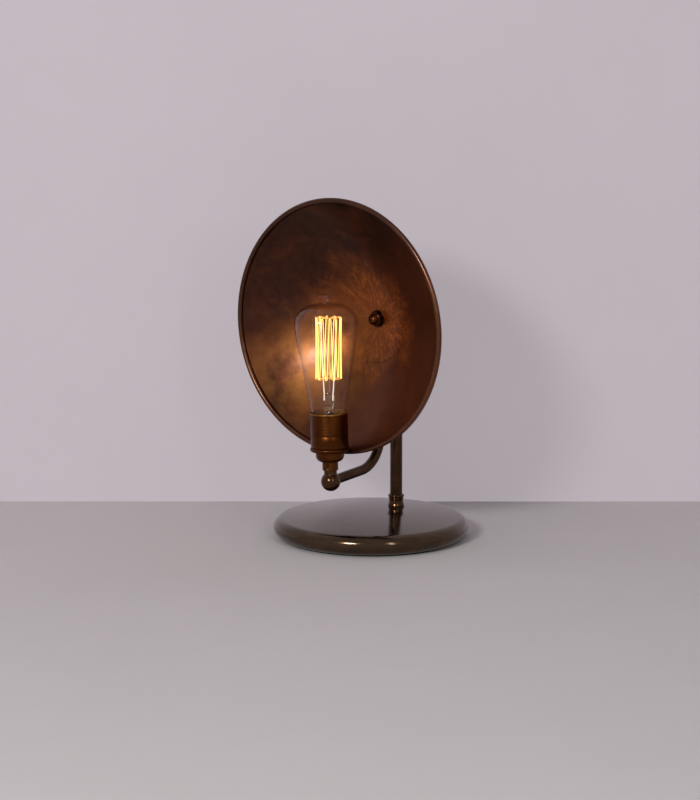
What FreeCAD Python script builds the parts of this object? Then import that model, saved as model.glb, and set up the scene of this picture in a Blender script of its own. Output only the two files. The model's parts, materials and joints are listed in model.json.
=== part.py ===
import FreeCAD, Part
import math
import os
from types import SimpleNamespace

import Sketcher

# A table lamp with a bare squirrel-cage bulb standing in front of a spun copper dish.
# The lamp faces -Y. The origin is the centre of the felt's underside, +Z is up.
# Everything on the arm hangs from the centre bolt behind the dish and swings about it.

os.makedirs("parts", exist_ok=True)
doc = FreeCAD.newDocument("dish_lamp")

# --------------------------------------------------------------------------------------
# Driving dimensions, in millimetres and degrees
# --------------------------------------------------------------------------------------
DIMENSIONS = {
    # base: a spun cover over an iron weight, closed with felt
    "base_radius": 100.0,
    "base_edge": 10.0,           # radius of the full round edge
    "base_dome": 900.0,          # radius of the shallow dome between the edges
    "base_sheet": 1.2,
    "base_lip": 5.5,             # width of the cover's turned-in lip
    "felt_thickness": 1.5,
    "felt_inset": 1.0,
    "weight_gap": 0.5,
    "weight_height": 19.5,
    "weight_web": 4.0,           # iron left over the nut's recess
    "recess_radius": 12.5,
    "channel_width": 7.0,
    "channel_height": 9.7,
    # cord inlet in the back of the base
    "inlet_bore": 3.25,
    "inlet_sleeve": 4.6,
    "inlet_flange": 6.2,
    "inlet_proud": 0.9,
    "inlet_length": 7.5,
    # stem
    "stem_setback": 42.6,        # stem axis behind the base's centre
    "stem_radius": 6.35,
    "stem_wall": 1.2,
    "collar_height": 12.7,
    "collar_foot": 8.3,
    "collar_waist": 7.1,
    "collar_bead": 1.3,
    "collar_ring": 0.7,
    "collar_plinth": 1.6,        # straight part at the collar's foot
    "collar_bell": 7.4,          # from the collar's foot to its ring
    "collar_swell": 6.6,         # depth of the bell's curve
    "foot_allowance": 0.6,       # left below the stem's seat and filed to the dome
    # threaded brass nipples, nuts and washers
    "nipple_radius": 5.0,
    "nipple_wall": 1.5,
    "nipple_grip": 17.0,         # length screwed into the stem
    "thread_gap": 0.05,
    "nut_across": 17.0,
    "nut_height": 4.5,
    "washer_radius": 10.5,
    "washer_thickness": 1.2,
    "nipple_end": 1.0,           # nipple showing past its nut
    # the two drilled balls behind the dish, and the swivel between them
    "pivot_height": 224.5,       # centre bolt above the table
    "stem_ball": 10.0,
    "stem_ball_flat": 7.7,
    "arm_ball": 9.5,
    "arm_ball_flat": 7.2,
    "ball_core": 5.3,            # from a ball's centre to the nipple ends inside it
    "stud_core": 3.5,            # from the arm ball's centre to the stud's end
    "swivel_length": 4.65,       # collar between the balls
    "swivel_radius": 6.2,
    "swivel_washer": 1.0,
    "swivel_play": 0.05,
    # dish: two arcs spun over a former, with a beaded edge
    "dish_radius": 128.7,
    "dish_sheet": 1.0,
    "dish_bead": 2.6,
    "crown_radius": 110.0,
    "crown_angle": 25.0,
    "flank_radius": 264.0,
    "seat_radius": 11.0,         # backing disc behind the dish
    "seat_thickness": 2.8,
    "front_washer": 9.0,
    "front_washer_thickness": 1.0,
    "stud_radius": 4.0,
    "dome_across": 12.6,         # dome nut, across its flats
    "dome_hex": 5.5,
    "dome_height": 11.0,
    "dome_step": 0.25,           # flat left round the dome
    # arm: a bent tube from the ball behind the dish to the elbow under the bulb
    "arm_swing": 2.0,            # how far the arm hangs to the right at rest
    "arm_radius": 5.0,
    "arm_wall": 1.0,
    "arm_rise": 3.7,             # the lower leg's slope
    "arm_lean": 5.9,             # the upper leg's slope from upright
    "arm_bend": 34.4,
    "arm_inset": 5.4,            # from a ball's centre to the tube's end
    "elbow_below_rim": 25.5,
    "elbow_ahead": 17.3,         # elbow in front of the dish's rim
    "elbow_ball": 9.8,
    "elbow_boss": 6.4,
    "elbow_boss_top": 11.7,
    # lampholder, heights above the elbow ball's centre
    "neck_radius": 7.95,
    "neck_top": 20.35,
    "grub_height": 15.2,
    "grub_radius": 1.5,
    "grub_length": 1.9,
    "grub_angle": 21.0,
    "holder_sheet": 1.0,
    "cup_round": 6.3,            # rounding under the cup
    "cup_radius": 14.3,
    "cup_top": 30.85,
    "ring_radius": 19.8,
    "ring_top": 35.2,
    "skirt_radius": 18.8,
    "skirt_smooth_top": 48.4,
    "skirt_top": 70.2,
    "skirt_thread": 0.3,         # depth of the fine outer thread
    "skirt_crest": 0.2,          # how far its crests stand past the smooth band
    "skirt_pitch": 1.5,
    "locknut_across": 13.0,
    "locknut_height": 2.5,
    # porcelain and contacts
    "porcelain_radius": 17.3,
    "porcelain_boss": 12.0,
    "porcelain_bottom": 28.0,
    "porcelain_floor": 36.2,
    "porcelain_top": 61.0,
    "shell_crest": 13.45,        # smallest inner radius of the lamp thread
    "shell_root": 14.05,
    "shell_sheet": 0.35,
    "shell_lip": 10.0,           # inner radius of the shell's turned-in floor
    "lamp_pitch": 3.629,
    "terminal_spacing": 7.0,
    "terminal_radius": 1.8,
    "terminal_height": 1.6,
    "contact_strip": 0.4,
    "contact_width": 5.0,
    "contact_reach": 8.0,
    # inner flex, and the two leads from its end to the terminals
    "flex_radius": 1.75,
    "flex_bend": 8.0,
    "flex_straight": 8.0,        # from the inlet bush to where the flex slopes down
    "flex_slope": 17.0,          # length of that slope, seen from above
    "flex_slope_foot": 1.0,      # height left over the channel's lowest run
    "lead_radius": 0.8,
    # bulb, heights above its centre contact
    "bulb_seat": 39.0,           # centre contact above the elbow ball
    "bulb_button": 4.6,
    "bulb_button_height": 1.6,
    "bulb_insulator_height": 4.2,
    "bulb_insulator_foot": 5.6,
    "bulb_crest": 13.1,
    "bulb_root": 12.3,
    "bulb_cap_sheet": 0.35,
    "bulb_cap_height": 25.5,
    "glass_wall": 0.8,
    "glass_rim_height": 31.2,    # where the glass passes the holder's rim
    "glass_rim_radius": 17.4,
    "neck_ease": 1.0,            # how far the glass draws in just below the rim
    "glass_cone_height": 103.6,  # end of the straight cone
    "glass_belly_height": 120.1,
    "glass_radius": 32.0,
    "glass_shoulder": 19.5,
    "glass_top": 140.8,
    "tip_neck": 5.4,
    "tip_radius": 7.3,
    "tip_top": 150.4,
    "tip_crown": 5.1,            # radius of the tip's flat top
    "tip_drop": 1.2,             # from the tip's top down to the edge of that flat
    "tip_waist": 4.0,            # from the tip's top down to its widest part
    "flare_radius": 9.0,
    "press_bottom": 37.0,
    "press_top": 49.0,
    "press_width": 6.0,
    "press_thickness": 2.2,
    "glass_rod": 1.4,
    "cage_radius": 13.4,
    "cage_bottom": 65.0,
    "cage_top": 126.3,
    "cage_wire": 0.35,
    "hairpin_gap": 1.5,          # between the two strands at a hook
    "hook_wire": 0.3,
    "lead_in_wire": 0.5,
    "lead_in_foot": 4.5,
    "lead_in_head": 8.0,
    "lead_in_drop": 6.5,         # from the top of the cage to the lead-in wires' ends
}
# A squirrel cage hangs on as many hooks above as below.
CAGE_HOOKS = 10


class Size:
    """A length or angle that carries its number and the sheet formula behind it."""

    def __init__(self, number, formula):
        self.number = number
        self.formula = formula

    def join(self, sign, other, number):
        return Size(number, "(%s %s %s)" % (self.formula, sign, as_size(other).formula))

    def __add__(self, other):
        return self.join("+", other, self.number + as_size(other).number)

    def __sub__(self, other):
        return self.join("-", other, self.number - as_size(other).number)

    def __mul__(self, other):
        return self.join("*", other, self.number * as_size(other).number)

    def __truediv__(self, other):
        return self.join("/", other, self.number / as_size(other).number)

    def __neg__(self):
        return as_size(0) - self


def as_size(value):
    """Turns a plain number into a Size."""
    if isinstance(value, Size):
        return value
    return Size(float(value), repr(float(value)))


def sine(angle):
    return Size(math.sin(math.radians(angle.number)), "sin(%s)" % angle.formula)


def cosine(angle):
    return Size(math.cos(math.radians(angle.number)), "cos(%s)" % angle.formula)


def root(value):
    return Size(math.sqrt(value.number), "sqrt(%s)" % value.formula)


def write_sheet():
    """Writes the driving dimensions to the sheet and returns them by name."""
    sheet = doc.addObject("Spreadsheet::Sheet", "Sizes")
    sizes = {}
    for row, (name, value) in enumerate(DIMENSIONS.items(), start=1):
        sheet.set("A%d" % row, name)
        sheet.set("B%d" % row, str(value))
        sheet.setAlias("B%d" % row, name)
        sizes[name] = Size(value, "Sizes." + name)
    doc.recompute()
    return SimpleNamespace(**sizes)


s = write_sheet()
ZERO = as_size(0)
FULL_TURN = 360.0
RIGHT_ANGLE = 90.0

# --------------------------------------------------------------------------------------
# Helpers: binding, placing, turning, cutting
# --------------------------------------------------------------------------------------
PARTS = []


def bind(thing, name, size):
    """Ties one property of an object to the sheet."""
    thing.setExpression(name, as_size(size).formula)


def solid(kind, label, **sizes):
    """A Part primitive whose named properties are tied to the sheet."""
    thing = doc.addObject(kind, label)
    for name, size in sizes.items():
        bind(thing, name, size)
    return thing


def pose(x=0, y=0, z=0, axis=(0, 0, 1), angle=0):
    """The formula of a placement: a move, and a turn about an axis."""
    numbers = [as_size(value).formula for value in (x, y, z, angle)]
    turn = "create(<<rotation>>; create(<<vector>>; %g; %g; %g); %s)" % (*axis, numbers[3])
    return "create(<<placement>>; create(<<vector>>; %s; %s; %s); %s)" % (*numbers[:3], turn)


def stand(thing, formula):
    """Places an object by a placement formula."""
    thing.setExpression("Placement", formula)
    return thing


def frame(label, formula):
    """A named set of axes that other pieces are placed from."""
    axes = stand(doc.addObject("Part::LocalCoordinateSystem", label), formula)
    return axes.Name + ".Placement"


def keep(thing, label, where=None):
    """Marks an object as a finished piece of the lamp, placed from a frame."""
    thing.Label = label
    if where:
        stand(thing, where)
    PARTS.append(thing)
    return thing


def cut(base, *tools):
    """Takes the tools away from the base."""
    tool = tools[0]
    if len(tools) > 1:
        tool = doc.addObject("Part::MultiFuse", base.Label + "_tools")
        tool.Shapes = list(tools)
    result = doc.addObject("Part::Cut", base.Label + "_cut")
    result.Base = base
    result.Tool = tool
    return result


def fuse(*pieces):
    """Joins pieces into one solid."""
    result = doc.addObject("Part::MultiFuse", pieces[0].Label + "_whole")
    result.Shapes = list(pieces)
    result.Refine = True
    return result


def group(label, pieces):
    """Several separate solids that share a node."""
    result = doc.addObject("Part::Compound", label + "_group")
    result.Links = list(pieces)
    return result


def to(across, along):
    """A corner of an outline, reached by a straight edge."""
    return SimpleNamespace(x=as_size(across), y=as_size(along), centre=None, turn=0)


def round_to(across, along, centre_across, centre_along, turn):
    """A corner reached by an arc about a centre: turn is 1 anticlockwise, -1 clockwise."""
    centre = (as_size(centre_across), as_size(centre_along))
    return SimpleNamespace(x=as_size(across), y=as_size(along), centre=centre, turn=turn)


def outline_edge(here, there):
    """The sketch edge between two corners."""
    begin = FreeCAD.Vector(here.x.number, here.y.number, 0)
    end = FreeCAD.Vector(there.x.number, there.y.number, 0)
    if there.centre is None:
        return Part.LineSegment(begin, end)
    centre = FreeCAD.Vector(there.centre[0].number, there.centre[1].number, 0)
    circle = Part.Circle(centre, FreeCAD.Vector(0, 0, 1), (begin - centre).Length)
    first, last = (begin, end) if there.turn > 0 else (end, begin)
    from_angle = math.atan2(first.y - centre.y, first.x - centre.x)
    to_angle = math.atan2(last.y - centre.y, last.x - centre.x)
    if to_angle < from_angle:
        to_angle += 2 * math.pi
    return Part.ArcOfCircle(circle, from_angle, to_angle)


# how a sketch constraint names a point of an edge, and the sketch's own origin and axis
POINT = SimpleNamespace(start=1, end=2, centre=3)
ORIGIN, UPRIGHT_AXIS = -1, -2


def fix_point(sketch, edge, point, name, across=None, along=None):
    """Holds a sketch point at a distance from the origin, tied to the sheet."""
    for side, kind, size in (("across", "DistanceX", across), ("along", "DistanceY", along)):
        if size is None:
            continue
        if side == "across" and size.formula == ZERO.formula:
            sketch.addConstraint(Sketcher.Constraint("PointOnObject", edge, point, UPRIGHT_AXIS))
            continue
        rule = Sketcher.Constraint(kind, ORIGIN, POINT.start, edge, point, size.number)
        index = sketch.addConstraint(rule)
        sketch.renameConstraint(index, "%s_%s" % (name, side))
        bind(sketch, "Constraints.%s_%s" % (name, side), size)


def draw(sketch, corners):
    """Draws a closed outline through the corners and ties every corner to the sheet."""
    pairs = list(zip(corners, corners[1:] + corners[:1]))
    edges = [outline_edge(here, there) for here, there in pairs]
    sketch.addGeometry(edges, False)
    forward, backward = (POINT.start, POINT.end), (POINT.end, POINT.start)
    ends = [backward if there.turn < 0 else forward for here, there in pairs]
    for index in range(len(edges)):
        following = (index + 1) % len(edges)
        meet = (index, ends[index][1], following, ends[following][0])
        sketch.addConstraint(Sketcher.Constraint("Coincident", *meet))
    for index, (here, there) in enumerate(pairs):
        fix_point(sketch, index, ends[index][0], "corner%d" % index, here.x, here.y)
        if there.centre is None:
            continue
        steep = abs(there.y.number - here.y.number) > abs(there.x.number - here.x.number)
        across, along = (there.centre[0], None) if steep else (None, there.centre[1])
        fix_point(sketch, index, POINT.centre, "centre%d" % index, across, along)


def flat_sketch(body, name, role):
    """A sketch on one of the body's own origin planes."""
    sketch = body.newObject("Sketcher::SketchObject", name)
    plane = [item for item in body.Origin.OriginFeatures if item.Role == role][0]
    sketch.AttachmentSupport = (plane, "")
    sketch.MapMode = "FlatFace"
    return sketch


def turned(label, corners, lying=False):
    """A lathe-turned body. Its axis is Z, or Y when it is lying."""
    body = doc.addObject("PartDesign::Body", label)
    sketch = flat_sketch(body, label + "_outline", "XY_Plane" if lying else "XZ_Plane")
    draw(sketch, corners)
    turn = body.newObject("PartDesign::Revolution", label + "_turning")
    turn.Profile = sketch
    turn.ReferenceAxis = (sketch, ["V_Axis"])
    turn.Angle = FULL_TURN
    return body


def tube(label, inner, outer, bottom, top, lying=False):
    """A plain ring or tube between two heights."""
    corners = [to(inner, bottom), to(outer, bottom), to(outer, top), to(inner, top)]
    return turned(label, corners, lying)


def drill(label, radius, length, where):
    """A cylinder that cuts a bore, from a placement formula."""
    return stand(solid("Part::Cylinder", label, Radius=radius, Height=length), where)


def hexagon(label, across, height, where):
    """A hexagonal bar, sized across its flats."""
    corner_radius = across / math.sqrt(3)
    bar = solid("Part::Prism", label, Circumradius=corner_radius, Height=height)
    bar.Polygon = 6
    return stand(bar, where)


def rounded_route(points, radii):
    """Straight runs joined by tangent arcs, one radius for each inner point."""
    edges = []
    start = points[0]
    for before, corner, after, radius in zip(points, points[1:], points[2:], radii):
        arriving = (corner - before).normalize()
        leaving = (after - corner).normalize()
        half_turn = arriving.getAngle(leaving) / 2
        reach = radius * math.tan(half_turn)
        arc_start = corner - arriving * reach
        arc_end = corner + leaving * reach
        inward = (leaving - arriving).normalize()
        middle = corner + inward * (radius / math.cos(half_turn) - radius)
        edges.append(Part.LineSegment(start, arc_start).toShape())
        edges.append(Part.Arc(arc_start, middle, arc_end).toShape())
        start = arc_end
    edges.append(Part.LineSegment(start, points[-1]).toShape())
    return Part.Wire(edges)


def wire_along(points, radii, radius, name):
    """A round wire along a rounded route, checked against its section times its length."""
    route = rounded_route(points, radii)
    section = Part.Wire(Part.makeCircle(radius, points[0], points[1] - points[0]))
    shape = route.makePipeShell([section], True, False)
    expected = math.pi * radius ** 2 * route.Length
    print("%s: %.1f mm long, volume over section times length %.4f, bends %s mm" % (
        name, route.Length, shape.Volume / expected, sorted(set(radii))))
    return shape


def shaped(label, shape):
    """A piece whose shape is a bent wire."""
    thing = doc.addObject("Part::Feature", label)
    thing.Shape = shape
    return thing


# --------------------------------------------------------------------------------------
# Places worked out from the driving dimensions
# --------------------------------------------------------------------------------------
base_flat = s.base_radius - s.base_edge
inlet_height = s.felt_thickness + s.base_edge
dome_to_edge = s.base_dome - s.base_edge
dome_centre = inlet_height - root(dome_to_edge * dome_to_edge - base_flat * base_flat)
dome_top = dome_centre + s.base_dome
stem_seat = dome_centre + root(s.base_dome * s.base_dome - s.stem_setback * s.stem_setback)
dome_under = s.base_dome - s.base_sheet
weight_bottom = dome_centre + dome_under - s.weight_height
recess_top = stem_seat - s.base_sheet - s.weight_web
foot_nut_top = recess_top - s.washer_thickness
foot_nipple_bottom = foot_nut_top - s.nut_height - s.nipple_end
stem_top = s.pivot_height - s.stem_ball_flat
nipple_bore = s.nipple_radius - s.nipple_wall
threaded_bore = s.nipple_radius + s.thread_gap

# along the centre bolt, from the stem forward
swivel_front = s.stem_setback - s.stem_ball_flat - s.swivel_length - s.swivel_washer
arm_ball_back = swivel_front - s.swivel_play
arm_ball_y = arm_ball_back - s.arm_ball_flat
dish_back = arm_ball_y - s.arm_ball_flat - s.seat_thickness
dish_front = dish_back - s.dish_sheet
nut_seat = dish_front - s.front_washer_thickness

# the dish's two arcs, seen in section: across is the radius, along is Y
crown_centre = dish_front - s.crown_radius
radius_step = s.crown_radius - s.flank_radius
flank_across = radius_step * sine(s.crown_angle)
flank_along = crown_centre + radius_step * cosine(s.crown_angle)
mid_flank = s.flank_radius + s.dish_sheet / 2
bead_across = s.dish_radius - s.dish_bead
rim_sine = (bead_across - flank_across) / mid_flank
rim_cosine = root(as_size(1) - rim_sine * rim_sine)
rim_y = flank_along + mid_flank * rim_cosine

# the arm's two ends, in a frame on the centre bolt that swings with the arm
arm_drop = s.dish_radius + s.elbow_below_rim
elbow_y = rim_y - s.elbow_ahead

ARM = frame("arm_frame", pose(z=s.pivot_height, axis=(0, -1, 0), angle=s.arm_swing))
HOLDER = frame("holder_frame", ARM + " * " + pose(y=elbow_y, z=-arm_drop))
BULB = frame("bulb_frame", HOLDER + " * " + pose(z=s.bulb_seat))
STEM = pose(y=s.stem_setback)
BOLT = pose(z=s.pivot_height)


# --------------------------------------------------------------------------------------
# Base
# --------------------------------------------------------------------------------------
def base_shell():
    """The spun cover: a shallow dome, a full round edge and a turned-in lip."""
    lip_inner = base_flat - s.base_lip
    inner_felt = s.felt_thickness + s.base_sheet
    # the dome and the edge share a tangent where a line through both centres meets them
    join_sine = base_flat / dome_to_edge
    join_cosine = (inlet_height - dome_centre) / dome_to_edge
    cover = turned("base_cover", [
        to(0, dome_top),
        round_to(s.base_dome * join_sine, dome_centre + s.base_dome * join_cosine,
                 0, dome_centre, -1),
        round_to(base_flat, s.felt_thickness, base_flat, inlet_height, -1),
        to(lip_inner, s.felt_thickness),
        to(lip_inner, inner_felt),
        to(base_flat, inner_felt),
        round_to(dome_under * join_sine, dome_centre + dome_under * join_cosine,
                 base_flat, inlet_height, 1),
        round_to(0, dome_top - s.base_sheet, 0, dome_centre, 1),
    ])
    stem_hole = drill("cover_stem_hole", threaded_bore, dome_top, STEM)
    along_back = pose(y=base_flat, z=inlet_height, axis=(-1, 0, 0), angle=RIGHT_ANGLE)
    inlet_hole = drill("cover_inlet_hole", s.inlet_sleeve + s.thread_gap * 2,
                       s.base_edge * 2, along_back)
    keep(cut(cover, stem_hole, inlet_hole), "base_shell")


def base_weight():
    """The iron disc, with a recess for the nut and a channel for the flex."""
    weight_radius = base_flat - s.base_lip - s.weight_gap
    edge_top = dome_centre + root(dome_under * dome_under - weight_radius * weight_radius)
    disc = turned("weight_disc", [
        to(0, weight_bottom), to(weight_radius, weight_bottom), to(weight_radius, edge_top),
        round_to(0, dome_centre + dome_under, 0, dome_centre, 1)])
    bore = drill("weight_bore", threaded_bore, s.weight_height * 2, STEM)
    recess_depth = recess_top - weight_bottom
    recess = drill("weight_recess", s.recess_radius, recess_depth,
                   pose(y=s.stem_setback, z=weight_bottom))
    channel = solid("Part::Box", "weight_channel", Length=s.channel_width,
                    Width=s.base_radius, Height=s.channel_height)
    stand(channel, pose(x=-(s.channel_width / 2), y=s.stem_setback, z=weight_bottom))
    keep(cut(disc, bore, recess, channel), "base_weight")


def base_felt():
    """The felt disc glued under the lip."""
    felt = solid("Part::Cylinder", "felt_disc", Radius=base_flat - s.felt_inset,
                 Height=s.felt_thickness)
    keep(felt, "base_felt")


def base_inlet():
    """The brass bush that lines the cord hole; its flange follows the round edge."""
    reach = s.base_radius + s.inlet_proud
    start = reach - s.inlet_length
    facing_back = pose(y=start, z=inlet_height, axis=(-1, 0, 0), angle=RIGHT_ANGLE)
    flange = drill("inlet_flange", s.inlet_flange, s.inlet_length, facing_back)
    edge = solid("Part::Torus", "inlet_edge", Radius1=base_flat, Radius2=s.base_edge)
    stand(edge, pose(z=inlet_height))
    sleeve = drill("inlet_sleeve", s.inlet_sleeve, s.inlet_length, facing_back)
    inside = solid("Part::Cylinder", "inlet_inside", Radius=base_flat, Height=dome_top)
    collar = cut(flange, edge, inside)
    bore = drill("inlet_bore", s.inlet_bore, s.inlet_length, facing_back)
    keep(cut(fuse(collar, sleeve), bore), "cord_inlet_bush")


# --------------------------------------------------------------------------------------
# Stem
# --------------------------------------------------------------------------------------
def filed_to_dome(piece):
    """Files the foot of a piece of the stem to the base's dome."""
    dome = solid("Part::Sphere", piece.Label + "_file", Radius=s.base_dome)
    stand(dome, pose(y=-s.stem_setback, z=dome_centre))
    return cut(piece, dome)


def stem_foot():
    """The nipple, washer and nut that clamp stem, cover and weight together."""
    nipple_top = stem_seat + s.nipple_grip
    nipple = tube("foot_nipple", nipple_bore, s.nipple_radius, foot_nipple_bottom, nipple_top)
    keep(nipple, "stem_foot_nipple", STEM)
    washer = tube("foot_washer", threaded_bore, s.washer_radius, foot_nut_top, recess_top)
    keep(washer, "stem_foot_washer", STEM)
    nut_place = pose(y=s.stem_setback, z=foot_nut_top - s.nut_height)
    bar = hexagon("foot_nut_bar", s.nut_across, s.nut_height, nut_place)
    thread = drill("foot_nut_thread", threaded_bore, s.nut_height, nut_place)
    keep(cut(bar, thread), "stem_foot_nut")


def stem_collar():
    """The turned collar: a swelling foot, a thin ring and a bead at the top."""
    bore = s.stem_radius + s.thread_gap
    bottom = stem_seat - s.foot_allowance
    top = stem_seat + s.collar_height
    ring_bottom = stem_seat + s.collar_bell
    ring_middle = ring_bottom + s.collar_ring
    ring_top = ring_middle + s.collar_ring
    lip = s.collar_bead / 2
    bead_top = top - lip
    bead_middle = bead_top - s.collar_bead
    bead_bottom = bead_middle - s.collar_bead
    foot_top = stem_seat + s.collar_plinth
    swell_centre = s.collar_waist - s.collar_swell
    collar = turned("turned_collar", [
        to(bore, bottom),
        to(s.collar_foot, bottom),
        to(s.collar_foot, foot_top),
        round_to(s.collar_waist, ring_bottom, swell_centre, foot_top, 1),
        round_to(s.collar_waist, ring_top, s.collar_waist, ring_middle, 1),
        to(s.collar_waist, bead_bottom),
        round_to(s.collar_waist, bead_top, s.collar_waist, bead_middle, 1),
        to(s.collar_waist, top),
        to(bore, top),
    ])
    keep(filed_to_dome(collar), "stem_collar", STEM)


def stem_tube():
    """The upright tube from the base to the ball behind the dish."""
    inner = s.stem_radius - s.stem_wall
    upright = tube("upright", inner, s.stem_radius, stem_seat - s.foot_allowance, stem_top)
    keep(filed_to_dome(upright), "stem_tube", STEM)


def stem_ball():
    """The drilled ball on the stem: flat below for the stem, flat in front for the swivel."""
    flat = s.stem_ball_flat
    ball = stand(solid("Part::Sphere", "stem_ball_blank", Radius=s.stem_ball), STEM)
    slab = s.stem_ball * 2
    below = solid("Part::Box", "stem_ball_below", Length=slab, Width=slab, Height=s.stem_ball)
    stand(below, pose(x=-s.stem_ball, y=s.stem_setback - s.stem_ball, z=-flat - s.stem_ball))
    front = solid("Part::Box", "stem_ball_front", Length=slab, Width=s.stem_ball, Height=slab)
    stand(front, pose(x=-s.stem_ball, y=s.stem_setback - flat - s.stem_ball, z=-s.stem_ball))
    down = drill("stem_ball_down", threaded_bore, s.stem_ball,
                 pose(y=s.stem_setback, axis=(1, 0, 0), angle=RIGHT_ANGLE * 2))
    forward = drill("stem_ball_forward", threaded_bore, s.stem_ball,
                    pose(y=s.stem_setback, axis=(1, 0, 0), angle=RIGHT_ANGLE))
    keep(cut(ball, below, front, down, forward), "stem_ball", BOLT)
    nipple = tube("head_nipple", nipple_bore, s.nipple_radius,
                  stem_top - s.nipple_grip, s.pivot_height - s.ball_core)
    keep(nipple, "stem_head_nipple", STEM)


def swivel():
    """What the arm turns on: a hollow nipple, a collar and a friction washer."""
    collar_back = s.stem_setback - s.stem_ball_flat
    washer_back = collar_back - s.swivel_length
    nipple = tube("pivot_nipple", nipple_bore, s.nipple_radius,
                  arm_ball_y + s.ball_core, s.stem_setback - s.ball_core, lying=True)
    keep(nipple, "swivel_nipple", BOLT)
    collar = tube("pivot_collar", threaded_bore, s.swivel_radius, washer_back, collar_back, True)
    keep(collar, "swivel_collar", BOLT)
    washer = tube("pivot_washer", threaded_bore, s.swivel_radius, swivel_front, washer_back, True)
    keep(washer, "swivel_washer", BOLT)


# --------------------------------------------------------------------------------------
# Dish and what holds it
# --------------------------------------------------------------------------------------
def dish():
    """The spun dish: crown arc, flank arc and a beaded edge, with a hole for the stud."""
    crown_back = s.crown_radius + s.dish_sheet
    flank_back = s.flank_radius + s.dish_sheet
    turn_sine = sine(s.crown_angle)
    turn_cosine = cosine(s.crown_angle)
    sheet = turned("dish_sheet_metal", [
        to(0, dish_front),
        round_to(s.crown_radius * turn_sine, crown_centre + s.crown_radius * turn_cosine,
                 0, crown_centre, -1),
        round_to(flank_across + s.flank_radius * rim_sine,
                 flank_along + s.flank_radius * rim_cosine, flank_across, flank_along, -1),
        to(flank_across + flank_back * rim_sine, flank_along + flank_back * rim_cosine),
        round_to(crown_back * turn_sine, crown_centre + crown_back * turn_cosine,
                 flank_across, flank_along, 1),
        round_to(0, dish_back, 0, crown_centre, 1),
    ], lying=True)
    bead = solid("Part::Torus", "dish_bead", Radius1=bead_across, Radius2=s.dish_bead)
    stand(bead, pose(y=rim_y, axis=(1, 0, 0), angle=RIGHT_ANGLE))
    hole = drill("dish_hole", s.stud_radius + s.thread_gap, s.crown_radius,
                 pose(y=dish_front + s.crown_radius / 2, axis=(1, 0, 0), angle=RIGHT_ANGLE))
    keep(cut(fuse(sheet, bead), hole), "dish", ARM)


def dish_fixings():
    """Backing disc, stud, and the front washer, hollowed behind to fit the dish."""
    clear_stud = s.stud_radius + s.thread_gap
    ball_front = arm_ball_y - s.arm_ball_flat
    seat = tube("backing_disc", clear_stud, s.seat_radius, dish_back, ball_front, True)
    keep(seat, "dish_seat", ARM)
    inner_back = crown_centre + root(s.crown_radius * s.crown_radius - clear_stud * clear_stud)
    outer_back = crown_centre + root(
        s.crown_radius * s.crown_radius - s.front_washer * s.front_washer)
    washer = turned("dish_washer_ring", [
        to(clear_stud, nut_seat),
        to(s.front_washer, nut_seat),
        to(s.front_washer, outer_back),
        round_to(clear_stud, inner_back, 0, crown_centre, 1)], True)
    keep(washer, "dish_washer", ARM)
    stud_front = nut_seat - s.dome_hex
    stud = turned("dish_stud_bar", [
        to(0, stud_front), to(s.stud_radius, stud_front),
        to(s.stud_radius, arm_ball_y - s.stud_core), to(0, arm_ball_y - s.stud_core)], True)
    keep(stud, "dish_stud", ARM)


def dome_nut():
    """The acorn nut in the middle of the dish: a chamfered hexagon under a dome."""
    hex_front = nut_seat - s.dome_hex
    corner = s.dome_across / math.sqrt(3)
    flat_radius = s.dome_across / 2
    chamfer = corner - flat_radius
    facing_front = pose(y=nut_seat, axis=(1, 0, 0), angle=RIGHT_ANGLE)
    bar = hexagon("dome_nut_bar", s.dome_across, s.dome_hex, facing_front)
    envelope = turned("dome_nut_envelope", [
        to(0, hex_front), to(flat_radius, hex_front), to(corner, hex_front + chamfer),
        to(corner, nut_seat), to(0, nut_seat)], True)
    hexagonal = doc.addObject("Part::Common", "dome_nut_hex")
    hexagonal.Base = bar
    hexagonal.Tool = envelope
    dome_radius = flat_radius - s.dome_step
    dome_front = nut_seat - s.dome_height
    dome_centre = dome_front + dome_radius
    dome = turned("dome_nut_dome", [
        to(0, dome_front),
        round_to(dome_radius, dome_centre, 0, dome_centre, 1),
        to(dome_radius, nut_seat - s.dome_hex / 2),
        to(0, nut_seat - s.dome_hex / 2)], True)
    thread = drill("dome_nut_thread", s.stud_radius + s.thread_gap,
                   s.dome_hex + s.thread_gap * 4, facing_front)
    keep(cut(fuse(hexagonal, dome), thread), "dome_nut", ARM)


# --------------------------------------------------------------------------------------
# Arm
# --------------------------------------------------------------------------------------
def arm_ball():
    """The drilled ball on the centre bolt, with the arm screwed in from below."""
    ball = stand(solid("Part::Sphere", "arm_ball_blank", Radius=s.arm_ball), pose(y=arm_ball_y))
    slab = s.arm_ball * 2
    cutters = []
    for name, start in (("back", arm_ball_y + s.arm_ball_flat),
                        ("front", arm_ball_y - s.arm_ball_flat - s.arm_ball)):
        box = solid("Part::Box", "arm_ball_" + name, Length=slab, Width=s.arm_ball, Height=slab)
        cutters.append(stand(box, pose(x=-s.arm_ball, y=start, z=-s.arm_ball)))
    cutters.append(drill("arm_ball_pivot", threaded_bore, s.arm_ball,
                         pose(y=arm_ball_y, axis=(-1, 0, 0), angle=RIGHT_ANGLE)))
    cutters.append(drill("arm_ball_stud", s.stud_radius + s.thread_gap, s.arm_ball,
                         pose(y=arm_ball_y, axis=(1, 0, 0), angle=RIGHT_ANGLE)))
    cutters.append(drill("arm_ball_arm", s.arm_radius + s.thread_gap, s.arm_ball,
                         pose(y=arm_ball_y, axis=(1, 0, 0), angle=ZERO + 180 - s.arm_lean)))
    keep(cut(ball, *cutters), "arm_ball", ARM)


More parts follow.
